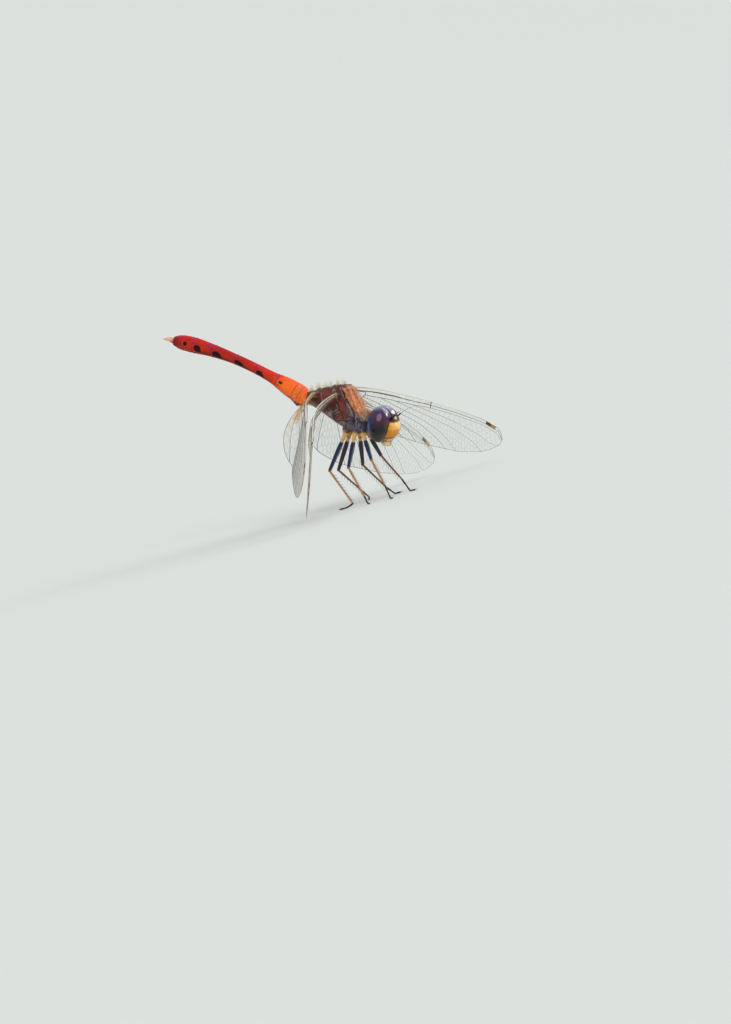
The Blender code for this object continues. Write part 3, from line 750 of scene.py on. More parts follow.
def add_wing(name, materials):
    """The net of veins, the membrane and the stigma of one wing."""
    wing = Wing(name)
    kind, hind, way = wing.kind, wing.hind, wing.way
    rods = Rods()

    def add(u, q, radius, sides=6, vein="", colour=None):
        u, q = np.broadcast_arrays(np.asarray(u, float), q)
        rods.add(wing.place(u, q), radius, vein_colour(u, hind, vein) if colour is None else colour, sides)

    for number, (vein, points) in enumerate(kind["veins"].items()):
        start = points[0][0]
        end = kind["nodus"] if vein == "subcosta" else points[-1][0]
        u = np.linspace(start, end, max(12, int((end - start) * 130)))
        q = way(vein, u)
        if start:
            q[0] = way(vein, start + 0.003)
        taper = VEIN_FORMS[vein][1 + hind] * (1 - 0.55 * u**1.2)
        if number:
            taper *= 1 + 0.5 * (1 - ramp(u, 0, 0.12))
        add(u, q, np.maximum(taper, THINNEST), 7, vein)
    # the edge at the tip and behind, then the arculus, the nodus and the bent crossing at the triangle
    add(EDGE, np.linspace(0, 1, 60), CROSSING_RADII["tip"], 5)
    u = np.linspace(0.0, EDGE, 220)
    add(u, 1.0, 0.022 + 0.012 * (1 - u), 5)
    arculus, nodus = kind["arculus"], kind["nodus"]
    q = np.linspace(way("radius", arculus), way("cubitus", arculus), 8)
    add(arculus, q, CROSSING_RADII["arculus"])
    u, q = np.linspace(nodus - 0.004, nodus + 0.006, 6), np.linspace(0, way("sector_1", nodus), 6)
    add(u, q, CROSSING_RADII["nodus"], colour=DARK_VEIN)
    corner = kind["veins"]["media_rear"][0][0]  # where the crossing at the triangle bends
    bend = (corner, way("cubitus", corner))
    ahead, behind = ((u, way("media", u)) for u in (corner - 0.012, corner + kind["triangle"]))
    for start, end in ((ahead, bend), (bend, behind)):
        add(*np.linspace(start, end, 6).T, CROSSING_RADII["triangle"])
    for number in range(len(wing.veins)):
        for u, q in cell_lines(wing, number):
            u, q = (np.array([ends[0], ends.mean(), ends[1]]) for ends in (u, q))
            add(u, q, 0.015 - 0.003 * u[1], 4, "small")
    rods.build(f"{name}_veins", materials["vein"])
    add_membrane(name, wing, materials)
    add_stigma(name, wing, materials["vein"])


def blade_sheet(wing, u, q, middle, half):
    """Points and faces of a closed sheet on the blade, by half above and half below the middle height."""
    index = np.arange(u.size).reshape(u.shape)
    border = np.concatenate([index[:, 0], index[-1, 1:], index[-2::-1, -1], index[0, -2:0:-1]])
    after = np.roll(border, -1)
    rim = np.stack([border, after, after + u.size, border + u.size], axis=1)
    faces = grid_faces(*u.shape)
    points = [wing.place(u, q, middle + half * way).reshape(-1, 3) for way in (1, -1)]
    return np.vstack(points), np.vstack([faces, faces[:, ::-1] + u.size, rim])


def add_membrane(name, wing, materials):
    """The clear skin between the veins: a folded grid with a little thickness."""
    along, across = (np.linspace(0, 1, stops) for stops in FILM_GRID)
    u, q = np.meshgrid(1 - (1 - along) ** 1.2, across**1.35, indexing="ij")
    spots = np.stack([u.ravel() * wing.span, q.ravel() * 5, 0 * u.ravel()], axis=1)
    ripple = FILM_RIPPLE * waves(spots, 7.0, 21).reshape(u.shape)
    points, faces = blade_sheet(wing, u, q, ripple, FILM_HALF)
    share = amber(np.tile(u.ravel(), 2), np.tile(q.ravel(), 2), wing.hind)
    colours = mix("D8E4E0", "E8A818" if wing.hind else "D0A02A", np.clip(share * 1.5, 0, 1))
    film = make_object(f"{name}_membrane", points, faces, materials["film"], colours)
    film.data.materials.append(materials["amber"])
    vertex, starts = numbers(film.data.loops, "vertex_index"), numbers(film.data.polygons, "loop_start")
    chance = share[vertex[starts]]
    pick = chance > RANDOM.uniform(0.25, 0.75, len(chance))
    film.data.polygons.foreach_set("material_index", pick.astype(np.int32))
    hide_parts(name)


def amber(u, q, hind):
    """How amber the membrane is: a patch at the root, broad on the hindwing and slight on the forewing."""
    if not hind:
        return (1 - ramp(u, 0.01, 0.06)) * 0.6
    reach = u + 0.02 * np.sin(q * 11) + 0.06 * ramp(q, 0.3, 0.8)
    return (1 - ramp(reach, 0.06, 0.15)) * ramp(q, 0.03, 0.16) * (1 - ramp(q, 0.5, 0.85))


def add_stigma(name, wing, made):
    """The thick cell near the wing's tip, dark in its inner half and tan in its outer half."""
    start, end = wing.kind["stigma"]
    u = np.linspace(start, end, 30)
    grid_u, across = np.meshgrid(u, np.linspace(0.04, 0.96, 9), indexing="ij")
    grid_u = grid_u + 0.006 * (across - 0.5)
    edge = np.minimum(across, 1 - across) * 2
    ends = np.clip(np.minimum(u - start, end - u) / 0.006, 0, 1)[:, None]
    puff = STIGMA_PUFF * np.sqrt(np.clip(edge * ends, 0, 1)) + 0.006
    points, faces = blade_sheet(wing, grid_u, wing.way("radius", grid_u) * across, 0.0, puff)
    share = np.tile(((grid_u - start) / (end - start)).ravel(), 2)
    colours = mix("4A3324", "C98F4A", ramp(share, 0.38, 0.62))
    piece = make_object(f"{name}_stigma", points, faces, made, colours)
    rods = Rods()
    for place in (start, end):
        u, q = np.linspace(place - 0.003, place + 0.003, 6), np.linspace(0, wing.way("radius", place), 6)
        rods.add(wing.place(u, q), CROSSING_RADII["stigma"], DARK_VEIN, sides=6)
    rods.build(f"{name}_stigma_ends", made)


def add_wings():
    materials = {}
    for key, name, roughness, alpha, gloss in (
        ("film", "wing_film", 0.16, 0.08, 0.8),
        ("amber", "wing_film_amber", 0.22, 0.54, 0.5),
    ):
        materials[key], tree, shader = new_material(
            name, roughness, Alpha=alpha, IOR=1.5,
            Coat_Weight=0.4, Coat_Roughness=0.08, Specular_IOR_Level=gloss,
        )
        painted(tree, shader)
    materials["vein"] = shell_material("wing_vein", 0.35, speckle=0.1, bump=1e-6, coat=0.3)
    for name in POSES:
        add_wing(name, materials)


# ---------------------------------------------------------------- lumps joined into one skin

SMOOTHING_ROUNDS = 2
KEPT, SPREAD = 0.45, 0.55  # in each round, the shares of a point's own place and of its neighbours'


def lump(bm, centre, semi):
    """An ellipsoid added to bm, in millimetres of the body's frame."""
    place = Matrix.Translation(centre) @ Matrix.Diagonal((*semi, 1))
    bmesh.ops.create_uvsphere(bm, u_segments=40, v_segments=26, radius=1.0, matrix=place)


def add_forms(bm, forms):
    """Ellipsoids given by their centres and half sizes; those off the middle stand on both sides."""
    for (x, y, z), semi in forms:
        for side in (1, -1) if y else (1,):
            lump(bm, (x, y * side, z), semi)


def melted(bm, voxel):
    """Closed overlapping lumps remeshed into one skin, then smoothed: its points, faces and normals."""
    mesh = bpy.data.meshes.new("lumps")
    bm.to_mesh(mesh)
    bm.free()
    obj = bpy.data.objects.new("lumps", mesh)
    bpy.context.scene.collection.objects.link(obj)
    remesh = obj.modifiers.new("join", "REMESH")
    remesh.mode = "VOXEL"
    remesh.voxel_size = voxel
    joined = obj.evaluated_get(bpy.context.evaluated_depsgraph_get())
    done = joined.to_mesh()
    points = numbers(done.vertices, "co", 3, float).reshape(-1, 3)
    faces = [tuple(face.vertices) for face in done.polygons]
    start, end = numbers(done.edges, "vertices", 2).reshape(-1, 2).T
    joined.to_mesh_clear()
    bpy.data.objects.remove(obj)
    bpy.data.meshes.remove(mesh)
    counts = np.bincount(np.concatenate([start, end]), minlength=len(points))[:, None]
    for _ in range(SMOOTHING_ROUNDS):
        total = np.zeros_like(points)
        np.add.at(total, start, points[end])
        np.add.at(total, end, points[start])
        points = points * KEPT + total / counts * SPREAD
    return points, faces, normals_of(points, faces)


def distance_to_line(points, line):
    """Distance from points in a plane to a line of straight runs."""
    line = np.asarray(line, float)
    best = np.full(len(points), 1e9)
    for start, end in zip(line[:-1], line[1:]):
        length = np.linalg.norm(end - start)
        direction = (end - start) / length
        t = np.clip((points - start) @ direction, 0, length)
        best = np.minimum(best, np.linalg.norm(points - start - t[:, None] * direction, axis=1))
    return best


# ---------------------------------------------------------------- head

EYE_CENTRE = np.array((5.35, 1.2, -3.36))
EYE_SEMI = (1.35, 1.35, 2.13)
EYE_TILT = math.radians(11)
EYE_LEAN = math.radians(-9)
EYE_FULLNESS = 2.5  # the upper inner sides swell to meet in a seam, so that the pair makes one dome
EYE_OVERHANG = 0.4
EYE_SLIMMING = 0.32
EYE_ROWS, EYE_AROUND = 96, 144
FACE_VOXEL = 0.045
EYES_MIDDLE = (5.3, 0, -3.4)
BUMP = (6.74, 0, -2.78)  # between the great eyes, with the three simple eyes on it
SIMPLE_EYES = ((6.8, -0.27, -2.5), (7.04, 0, -2.56), (6.8, 0.27, -2.5))
FACE_GROOVES = ((-4.02, 0.022), (-4.62, 0.03), (-5.1, 0.05), (-5.46, 0.05))  # height and depth
FACE_FORMS = (  # (centre, half sizes); those with a Y of their own stand on both sides
    ((5.7, 0, -3.95), (1.3, 1.3, 1.45)),
    ((4.95, 0, -3.6), (0.72, 1.28, 1.42)),
    ((6.5, 0.28, -3.58), (0.95, 0.8, 0.72)),
    ((6.52, 0, -3.85), (0.95, 1.14, 0.85)),
    ((6.3, 0, -4.35), (0.9, 1.2, 0.66)),
    ((6.1, 0.85, -4.4), (0.56, 0.44, 0.6)),
    ((6.05, 0, -4.85), (0.74, 0.86, 0.46)),
    ((5.8, 0.82, -4.95), (0.56, 0.42, 0.5)),
    ((5.88, 0, -5.3), (0.6, 0.62, 0.34)),
    ((5.76, 0.13, -5.68), (0.6, 0.42, 0.4)),
    (BUMP, (0.38, 0.42, 0.4)),
)


def face_colours(points, normals):
    """A yellow face with a painted highlight high on its front, pale lips, a dark bump and crown, and a dark
    rear with a pale rim.
    """
    x, y, z = points.T
    side = np.abs(y)
    lip = ramp(-z, 5.08, 5.16) * ramp(x, 5.3, 5.5)
    rear = 1 - ramp(x, 5.2, 5.5)
    bump = np.linalg.norm(points - BUMP, axis=1)
    glint = np.sqrt((x - 7.0) ** 2 + (side - 0.1) ** 2 + (z + 2.62) ** 2)
    colours = coated(
        mix("FBB648", "EC930E", ramp(-z, 3.7, 4.3)),
        ("D0800E", ramp(side, 0.75, 1.25) * 0.55),
        # a painted highlight high on the front of the face
        ("FFDCA4", bell(side, 0.25, 0.6) * bell(z, -3.5, 0.38) * ramp(x, 6.6, 7.1) * 0.8),
        ("9A560A", ramp(-z, 4.7, 5.0) * 0.75),
        ("9A5A10", bell(z, -4.02, 0.035) * ramp(x, 5.9, 6.3) * 0.35),
        ("9A5A10", bell(z, -4.62, 0.035) * ramp(x, 5.9, 6.3) * 0.35),
        ("FBDDB2", lip * 0.97),
        ("E9B888", lip * bell(z, -5.5, 0.12) * 0.5),
        ("38120C", ramp(z, -3.2, -3.0) * ramp(normals[:, 2], -0.05, 0.45)),
        ("241010", 1 - ramp(bump, 0.42, 0.52)),
        ("F2DCA6", bell(glint, 0, 0.19) * 0.95),
        ("20100C", lip * bell(side, 0, 0.1) * ramp(-z, 5.4, 5.5) * 0.9),
        ("3A1A10", bell(z, -5.46, 0.04) * ramp(x, 5.6, 5.9) * 0.6),
        ("2A140C", ramp(-z, 5.1, 5.25) * ramp(side, 0.7, 0.85) * 0.9),
        ("221712", rear),
        ("B89A4A", rear * bell(z, -4.3, 0.35) * ramp(side, 0.9, 1.1) * 0.8),
    )
    return colours * (1 + 0.05 * waves(points, 7.0, 31)[:, None])


def add_face():
    """The face and the back of the head; its points and normals are given on for the hair."""
    bm = bmesh.new()
    add_forms(bm, FACE_FORMS)
    points, faces, normals = melted(bm, FACE_VOXEL)
    x, y, z = points.T
    relief = -0.05 * bell(y, 0, 0.07) * ramp(z, -3.5, -3.0) * ramp(x, 6.3, 6.7)
    for place, depth in FACE_GROOVES:
        relief -= depth * bell(z, place + 0.08 * np.abs(y), 0.04) * ramp(x, 5.7, 6.2)
    relief += 0.007 * waves(points, 16.0, 5)
    for centre in SIMPLE_EYES:
        relief += 0.05 * bell(np.linalg.norm(points - centre, axis=1), 0, 0.1)
    points = points + normals * relief[:, None]
    made = shell_material("face_shell", 0.32, speckle=0.1, bump=4e-6, coat=0.15, scatter=0.15)
    face = make_object("face", points, faces, made, face_colours(points, normals))
    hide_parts("head")
    return points, normals


def eye_colours(local, world):
    """Zones of the great eye, with a painted pale reflection of the sky over its top; local is on a unit
    ball, world in millimetres.
    """
    height, front = local[:, 2], local[:, 0]
    spots = ramp(waves(world, 5.5, 12), 0.35, 0.9)
    return coated(
        mix("241830", "34224E", ramp(height, 0.0, 0.55)),
        # a painted pale lavender reflection of the sky over the top of the eye
        ("8C8AA6", ramp(height, 0.68, 1.0) * 0.8),
        ("521836", bell(front, 0.55, 0.4) * bell(height, 0.2, 0.32) * 0.85),
        ("24508C", bell(front, -0.75, 0.48) * bell(height, 0.0, 0.4) * 0.95),
        ("040508", bell(height, -0.32, 0.3) * ramp(front, -0.6, 0.1) * 0.97),
        ("1C4440", bell(front, -0.7, 0.4) * (1 - ramp(height, -0.6, -0.3)) * 0.7),
        ("1A240A", (1 - ramp(height, -0.7, -0.5)) * (0.4 + 0.6 * ramp(front, -0.4, 0.2))),
        ("4E3A0C", (1 - ramp(height, -0.95, -0.5)) * ramp(front, -0.2, 0.4) * 0.8),
        ("6A4410", ramp(front, 0.74, 0.98) * bell(height, -0.3, 0.4) * 0.6),
        ("0A070C", spots * 0.12 * bell(height, -0.25, 0.4)),
    )


def add_eyes():
    made, tree, shader = new_material("eye_gloss", 0.13, Coat_Weight=0.35, Coat_Roughness=0.05, IOR=1.34)
    painted(tree, shader)
    bumped(tree, shader, 26000.0, 7e-7, facets=True)
    theta = np.linspace(0.001, math.pi - 0.001, EYE_ROWS)
    phi = np.arange(EYE_AROUND) / EYE_AROUND * 2 * math.pi
    theta, phi = (grid.ravel() for grid in np.meshgrid(theta, phi, indexing="ij"))
    for name, side in SIDES:
        local = np.stack([np.sin(theta) * np.cos(phi), np.sin(theta) * np.sin(phi), np.cos(theta)], axis=1)
        inward = np.clip(-side * local[:, 1], 0, 0.9999)
        full = 2 + EYE_FULLNESS * ramp(0.9 * local[:, 2] + 0.25 * local[:, 0], -0.05, 0.45)
        grown = (1 - inward**full) ** (1 / full) / np.sqrt(1 - inward**2)
        local[:, 0] *= grown
        local[:, 2] *= grown
        local[:, 1] -= side * EYE_OVERHANG * np.maximum(local[:, 2], 0) ** 1.5
        local[:, 0] *= np.where((local[:, 0] > 0) & (local[:, 2] < 0), 1 + EYE_SLIMMING * local[:, 2], 1)
        turn = Matrix.Rotation(EYE_LEAN, 3, "Y") @ Matrix.Rotation(EYE_TILT * side, 3, "X")
        points = local @ np.array(turn @ Matrix.Diagonal(EYE_SEMI)).T + EYE_CENTRE * (1, side, 1)
        # the rear rim is nicked as in life, and the inner sides meet in a short seam
        points[:, 0] += 0.1 * bell(points[:, 2], -3.9, 0.35) * ramp(-local[:, 0], 0.6, 1.0)
        inner = side * points[:, 1]
        dip = ramp(0.12 - inner, 0, 0.12) * 0.03
        points -= dip[:, None] * unit((points - EYES_MIDDLE) * (1, 0, 1))
        points[:, 1] = side * np.maximum(inner, 0.008)
        faces = tube_faces(EYE_ROWS, EYE_AROUND)
        eye = make_object(f"great_eye_{name}", points, faces, made, eye_colours(local, points))
        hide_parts(f"eye_{name}")


def add_feelers():
    made = shell_material("feeler", 0.4, speckle=0.1)
    t = np.linspace(0, 1, 26)
    radii = 0.068 * (1 - ramp(t, 0.1, 0.26)) + 0.026 * (1 - 0.55 * t) + 0.02 * bell(t, 0.16, 0.05)
    for name, side in SIDES:
        root, tip = np.array((6.95, 0.5 * side, -2.5)), np.array((8.72, 1.36 * side, -1.26))
        path = root + (tip - root) * t[:, None] + np.array((0.0, 0.0, 0.14)) * np.sin(t * math.pi)[:, None]
        rods = Rods()
        rods.add(path, radii, mix("4A2A14", "120B0A", ramp(t, 0.04, 0.25)), sides=10)
        piece = rods.build(f"feeler_{name}", made)
        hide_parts(f"antenna_{name}")


# ---------------------------------------------------------------- thorax

THORAX_SECTIONS = (  # (x, lowest, highest, half width)
    (-4.8, -2.0, -0.72, 0.8), (-4.45, -2.18, -0.48, 1.2), (-3.8, -2.35, -0.22, 1.5), (-2.7, -2.9, 0.12, 1.75),
    (-1.5, -3.55, 0.46, 1.9), (-0.5, -4.1, 0.76, 1.95), (0.25, -4.4, 0.84, 1.95), (0.9, -4.6, 0.55, 1.92),
    (1.5, -4.68, -0.2, 1.82), (2.05, -4.66, -1.05, 1.62), (2.5, -4.55, -1.8, 1.3), (2.8, -4.35, -2.4, 0.95),
)
THORAX_STOPS, THORAX_AROUND = 90, 56
THORAX_INSET = 0.06  # how far the main form lies inside those sections
THORAX_VOXEL = 0.06
BACK_FORMS = (  # the raised plates of the back between the wings, and the collar
    ((0.35, 0.52, 0.22), (0.8, 0.6, 0.5)),
    ((-0.95, 0, 0.3), (0.5, 0.5, 0.36)),
    ((-2.0, 0.5, -0.12), (0.75, 0.58, 0.42)),
    ((-3.15, 0, -0.28), (0.5, 0.48, 0.3)),
    ((-4.3, 0, -0.75), (0.6, 0.8, 0.35)),
    ((3.3, 0, -3.5), (0.27, 0.93, 0.98)),
    ((2.98, 0, -3.35), (0.3, 0.82, 0.9)),
    ((3.45, 0, -2.85), (0.2, 0.55, 0.35)),
)
HIPS = ((2.95, 0.55, -4.95), (1.8, 0.57, -5.0), (0.55, 0.57, -4.98))
SEAMS = (  # lines of the flank's plates, in x and z, from the wings down to the legs
    ((0.2, 0.5), (0.98, -0.6), (1.72, -1.6), (2.2, -2.6), (2.1, -3.9)),
    ((-0.75, 0.1), (0.0, -1.15), (0.75, -2.4), (1.0, -3.4), (0.7, -4.4)),
    ((-2.35, -0.25), (-1.65, -1.45), (-0.85, -2.6), (-0.3, -3.5), (-0.4, -4.4)),
    ((1.0, -3.4), (1.6, -3.1), (2.3, -3.25)),
    ((-0.3, -3.5), (0.3, -3.3), (1.0, -3.4)),
    ((-0.91, -2.65), (-0.2, -2.3), (0.5, -1.98)),
)


def loft_thorax(bm):
    """The thorax's main form, through its sections."""
    table = np.array(THORAX_SECTIONS)
    xs = np.linspace(table[0, 0], table[-1, 0], THORAX_STOPS)
    low, high, half = (smooth_curve(table[:, (0, column)], xs)[:, None] for column in (1, 2, 3))
    _, flat, tall = rounded_ring(THORAX_AROUND, squareness=2.5, pinch_top=0.3, pinch_belly=0.25)
    wide, height = (half - THORAX_INSET) * flat, (low + high) / 2 + ((high - low) / 2 - THORAX_INSET) * tall
    points = np.stack([np.broadcast_to(xs[:, None], wide.shape), wide, height], axis=-1).reshape(-1, 3)
    corners = [bm.verts.new(point) for point in points.tolist()]
    for face in tube_faces(THORAX_STOPS, THORAX_AROUND):
        bm.faces.new([corners[corner] for corner in face])


def add_thorax():
    """The thorax, collar and neck in one skin; its points and normals are given on for the hair."""
    bm = bmesh.new()
    loft_thorax(bm)
    add_forms(bm, BACK_FORMS)
    add_forms(bm, [((x + 0.04, y, z + 0.56), (0.4, 0.44, 0.52)) for x, y, z in HIPS])
    for name in POSES:  # the wings' roots
        root = Wing(name).place([0.0], [0.5])[0]
        inner = root * (1, 0.6, 1)
        for share in np.linspace(0, 1, 8):
            size = 0.5 - 0.22 * share
            lump(bm, Vector(inner + (root - inner) * share), (size * 1.2, 0.3, size * 0.85))
    for share in np.linspace(0, 1, 14):  # the neck
        lump(bm, (3.3 + 1.6 * share, 0, -3.42), (0.24, 0.42, 0.42))
    bmesh.ops.recalc_face_normals(bm, faces=bm.faces)
    points, faces, normals = melted(bm, THORAX_VOXEL)
    x, y, z = points.T
    flank = ramp(np.abs(y), 0.75, 1.05) * ramp(x, -4.6, -4.2) * (1 - ramp(x, 2.6, 2.85))
    height = 0.02 * waves(points, 4.0, 2) + 0.008 * waves(points, 11.0, 6)
    shade, rim = np.zeros((2, len(points)))
    highlight_breakup = ramp(waves(points, 3.1, 40), -0.3, 0.8)
    # along each seam: painted shade in the groove, and beside it a thin painted highlight, broken into
    # patches by smooth noise
    for line in SEAMS:
        away = distance_to_line(points[:, (0, 2)], line)
        height += flank * (-0.085 * bell(away, 0, 0.075) + 0.03 * bell(away, 0.19, 0.09))
        shade = np.maximum(shade, flank * bell(away, 0, 0.085))
        rim = np.maximum(rim, flank * bell(away, 0.13, 0.04) * highlight_breakup)
    crest = bell(y, 0, 0.06) * ramp(x, 0.8, 1.1) * (1 - ramp(x, 2.5, 2.8)) * ramp(z, -2.8, -2.5)
    height += 0.08 * crest
    mouth = np.hypot((x + 0.35) / 0.16, (z + 2.55) / 0.3)  # the breathing hole on the flank
    height -= flank * 0.1 * (1 - ramp(mouth, 0.6, 1.1))
    height += flank * 0.04 * bell(mouth, 1.35, 0.2)
    points = points + normals * height[:, None]
    normals = normals_of(points, faces)
    made = shell_material("thorax_shell", 0.42, speckle=0.3, bump=9e-6, coat=0.08)
    skin = make_object("thorax_skin", points, faces, made, thorax_colours(points, normals, shade, rim, crest))
    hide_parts("thorax", "prothorax", "neck")
    return points, normals


def thorax_colours(points, normals, shade, rim, crest):
    """A tawny front, dark red flanks over slate, the seams with painted shade in their grooves and painted
    highlights beside them, and the collar, hips and wing roots.
    """
    x, y, z = points.T
    side = np.abs(y)
    blotch, fine = waves(points, 1.9, 14), waves(points, 7.5, 15)
    plate = bell(x - 0.25 * (z + 2.4), 1.0, 0.42) * bell(z, -2.3, 0.95)  # the redder plate under the forewing
    slate = ramp(x + 0.35 * (z + 3.2), 1.2, 1.9) * ramp(-z, 1.3, 2.4)
    edge = bell(ramp(x, -4.6, 0.6) * 2.55 - z - 4.55, 0, 0.3) * (1 - ramp(x, 0.2, 1.0))
    rear = (1 - ramp(x, -3.4, -2.2)) * ramp(-z, 1.0, 1.8)
    ahead = x - np.interp(z, (-3.9, -2.6, -1.6, -0.6, 0.4), (2.2, 2.3, 1.85, 1.1, 0.3))
    front = ramp(ahead + 0.12 * fine, -0.14, 0.34) * ramp(z, -3.0, -2.1) * (1 - ramp(z, 0.5, 0.85))
    streak = ramp(np.sin(9.0 * side + 0.8 * fine + 1.1 * z) + 0.5 * blotch, 0.0, 1.1)
    tawny = coated(mix("FC9E5C", "A45C3A", streak * 0.75), ("9A5436", ramp(z, -0.7, 0.4) * 0.5))
    back = ramp(normals[:, 2], 0.5, 0.85) * (1 - ramp(x, 0.6, 1.0)) * ramp(z, -1.2, -0.7)
    collar = ramp(x, 2.75, 3.0)
    # a painted blue-grey sheen, in a narrow streak down the lower front, broken by fine noise
    blue_sheen = bell(x + 0.25 * (z + 4.2), 2.8, 0.24) * ramp(-z, 3.4, 4.0) * ramp(fine, -0.9, 0.3)
    colours = coated(
        mix("7A3028", "481C20", ramp(blotch, -0.5, 0.7)),
        ("84402E", ramp(fine, 0.1, 0.9) * 0.45),
        ("7E3A26", plate * 0.75),
        ("3C3A52", slate * 0.8),
        ("4A4256", ramp(-z + 0.3 * (x - 1), 3.0, 3.8) * 0.8),
        ("74748A", ramp(-z + 0.25 * x, 3.9, 4.6) * ramp(fine, -0.7, 0.6) * 0.55),
        ("9A8C80", edge * 0.5 * ramp(fine, -0.5, 0.6)),
        ("7A5A2E", rear * 0.7),
        (tawny, front * 0.95),
        ("7A2E1C", front * bell(y, 0, 0.2) * 0.55),
        ("45201A", back * 0.8),
        ("9A6A4E", back * bell(y, 0, 0.2) * 0.6),
        ("8C8478", ramp(-normals[:, 2], 0.5, 0.8) * 0.55),
        (mix("4A2A1E", "33303E", ramp(-z, 3.3, 3.8)), collar * 0.9),
        ("B99A5A", collar * bell(side, 0.55, 0.25) * ramp(z, -3.2, -2.8) * 0.6),
        # painted shade in the seams' grooves, then a thin painted highlight beside them
        ("1A0D0E", shade * 0.85),
        ("C8B8B4", rim * 0.75),
        ("2A100C", crest * 0.5),
        # the painted blue-grey sheen
        ("9094A8", blue_sheen * 0.6),
    )
    for hip_x, hip_y, hip_z in HIPS:
        away = np.hypot((x - hip_x) * 1.1, side - hip_y) + 0.8 * np.maximum(z - hip_z - 0.3, 0)
        colours = mix(colours, "DCA660", (1 - ramp(away, 0.3, 0.55)) * ramp(-z, 4.45, 4.68) * 0.88)
    return mix(colours, "A88858", ramp(side, 1.85, 2.2) * ramp(z, -1.2, -0.8) * 0.7)


# ---------------------------------------------------------------- legs

LEGS = {  # hip and knee in the body's frame; ankle and toe over the floor, measured from under its origin
    "front_right": ((2.95, -0.55, -4.95), (4.6, -1.5, -7.65), (3.75, -2.3, 1.75), (4.8, -3.0)),
    "front_left": ((2.95, 0.55, -4.95), (4.25, 1.4, -7.65), (3.4, 2.3, 1.75), (4.5, 3.0)),
    "middle_right": ((1.8, -0.57, -5.0), (1.7, -1.9, -8.8), (1.0, -2.9, 1.0), (2.1, -3.9)),
    "middle_left": ((1.8, 0.57, -5.0), (1.6, 1.7, -9.1), (0.85, 2.8, 1.0), (2.0, 3.8)),
    "hind_right": ((0.55, -0.57, -4.98), (-1.05, -1.6, -9.5), (-0.9, -2.6, 0.35), (-2.0, -4.1)),
    "hind_left": ((0.55, 0.57, -4.98), (-1.6, 1.45, -10.0), (-1.6, 2.4, 0.35), (-2.7, 3.9)),
}
TOE_HEIGHT = 0.106  # of the foot's middle line over the floor
LANDING_HEIGHT = 0.109
SHIN_SPINES, THIGH_SPINES = 9, 14  # in each row
FOOT = "15100F"
SPINE = "120C0C"


def on_floor(x, y, z):
    """A place over the floor, in the body's frame."""
    return from_row((BODY_ARRAY[0, 3] + x * MM, BODY_ARRAY[1, 3] + y * MM, z * MM))


def striped(top, under, line, outside, base=None, base_until=0.0, lines=()):
    """A leg's colour: top on the outside, under on the inside, a thin line, and a base colour."""
    outside = unit(outside)

    def colour(share, ring):
        turn = ring @ outside
        share = np.broadcast_to(share, turn.shape)
        made = mix(under, top, ramp(turn, -0.25, 0.25))
        if not lines:
            made = mix(made, line, bell(turn, -0.02, 0.22) * 0.8)
        for way in lines:  # a pale line down the front and the rear of the thigh
            made = mix(made, line, ramp(ring @ unit(way), 0.965, 0.995) * ramp(share, 0.1, 0.25) * 0.7)
        return mix(base, made, ramp(share, base_until * 0.7, base_until)) if base else made

    return colour


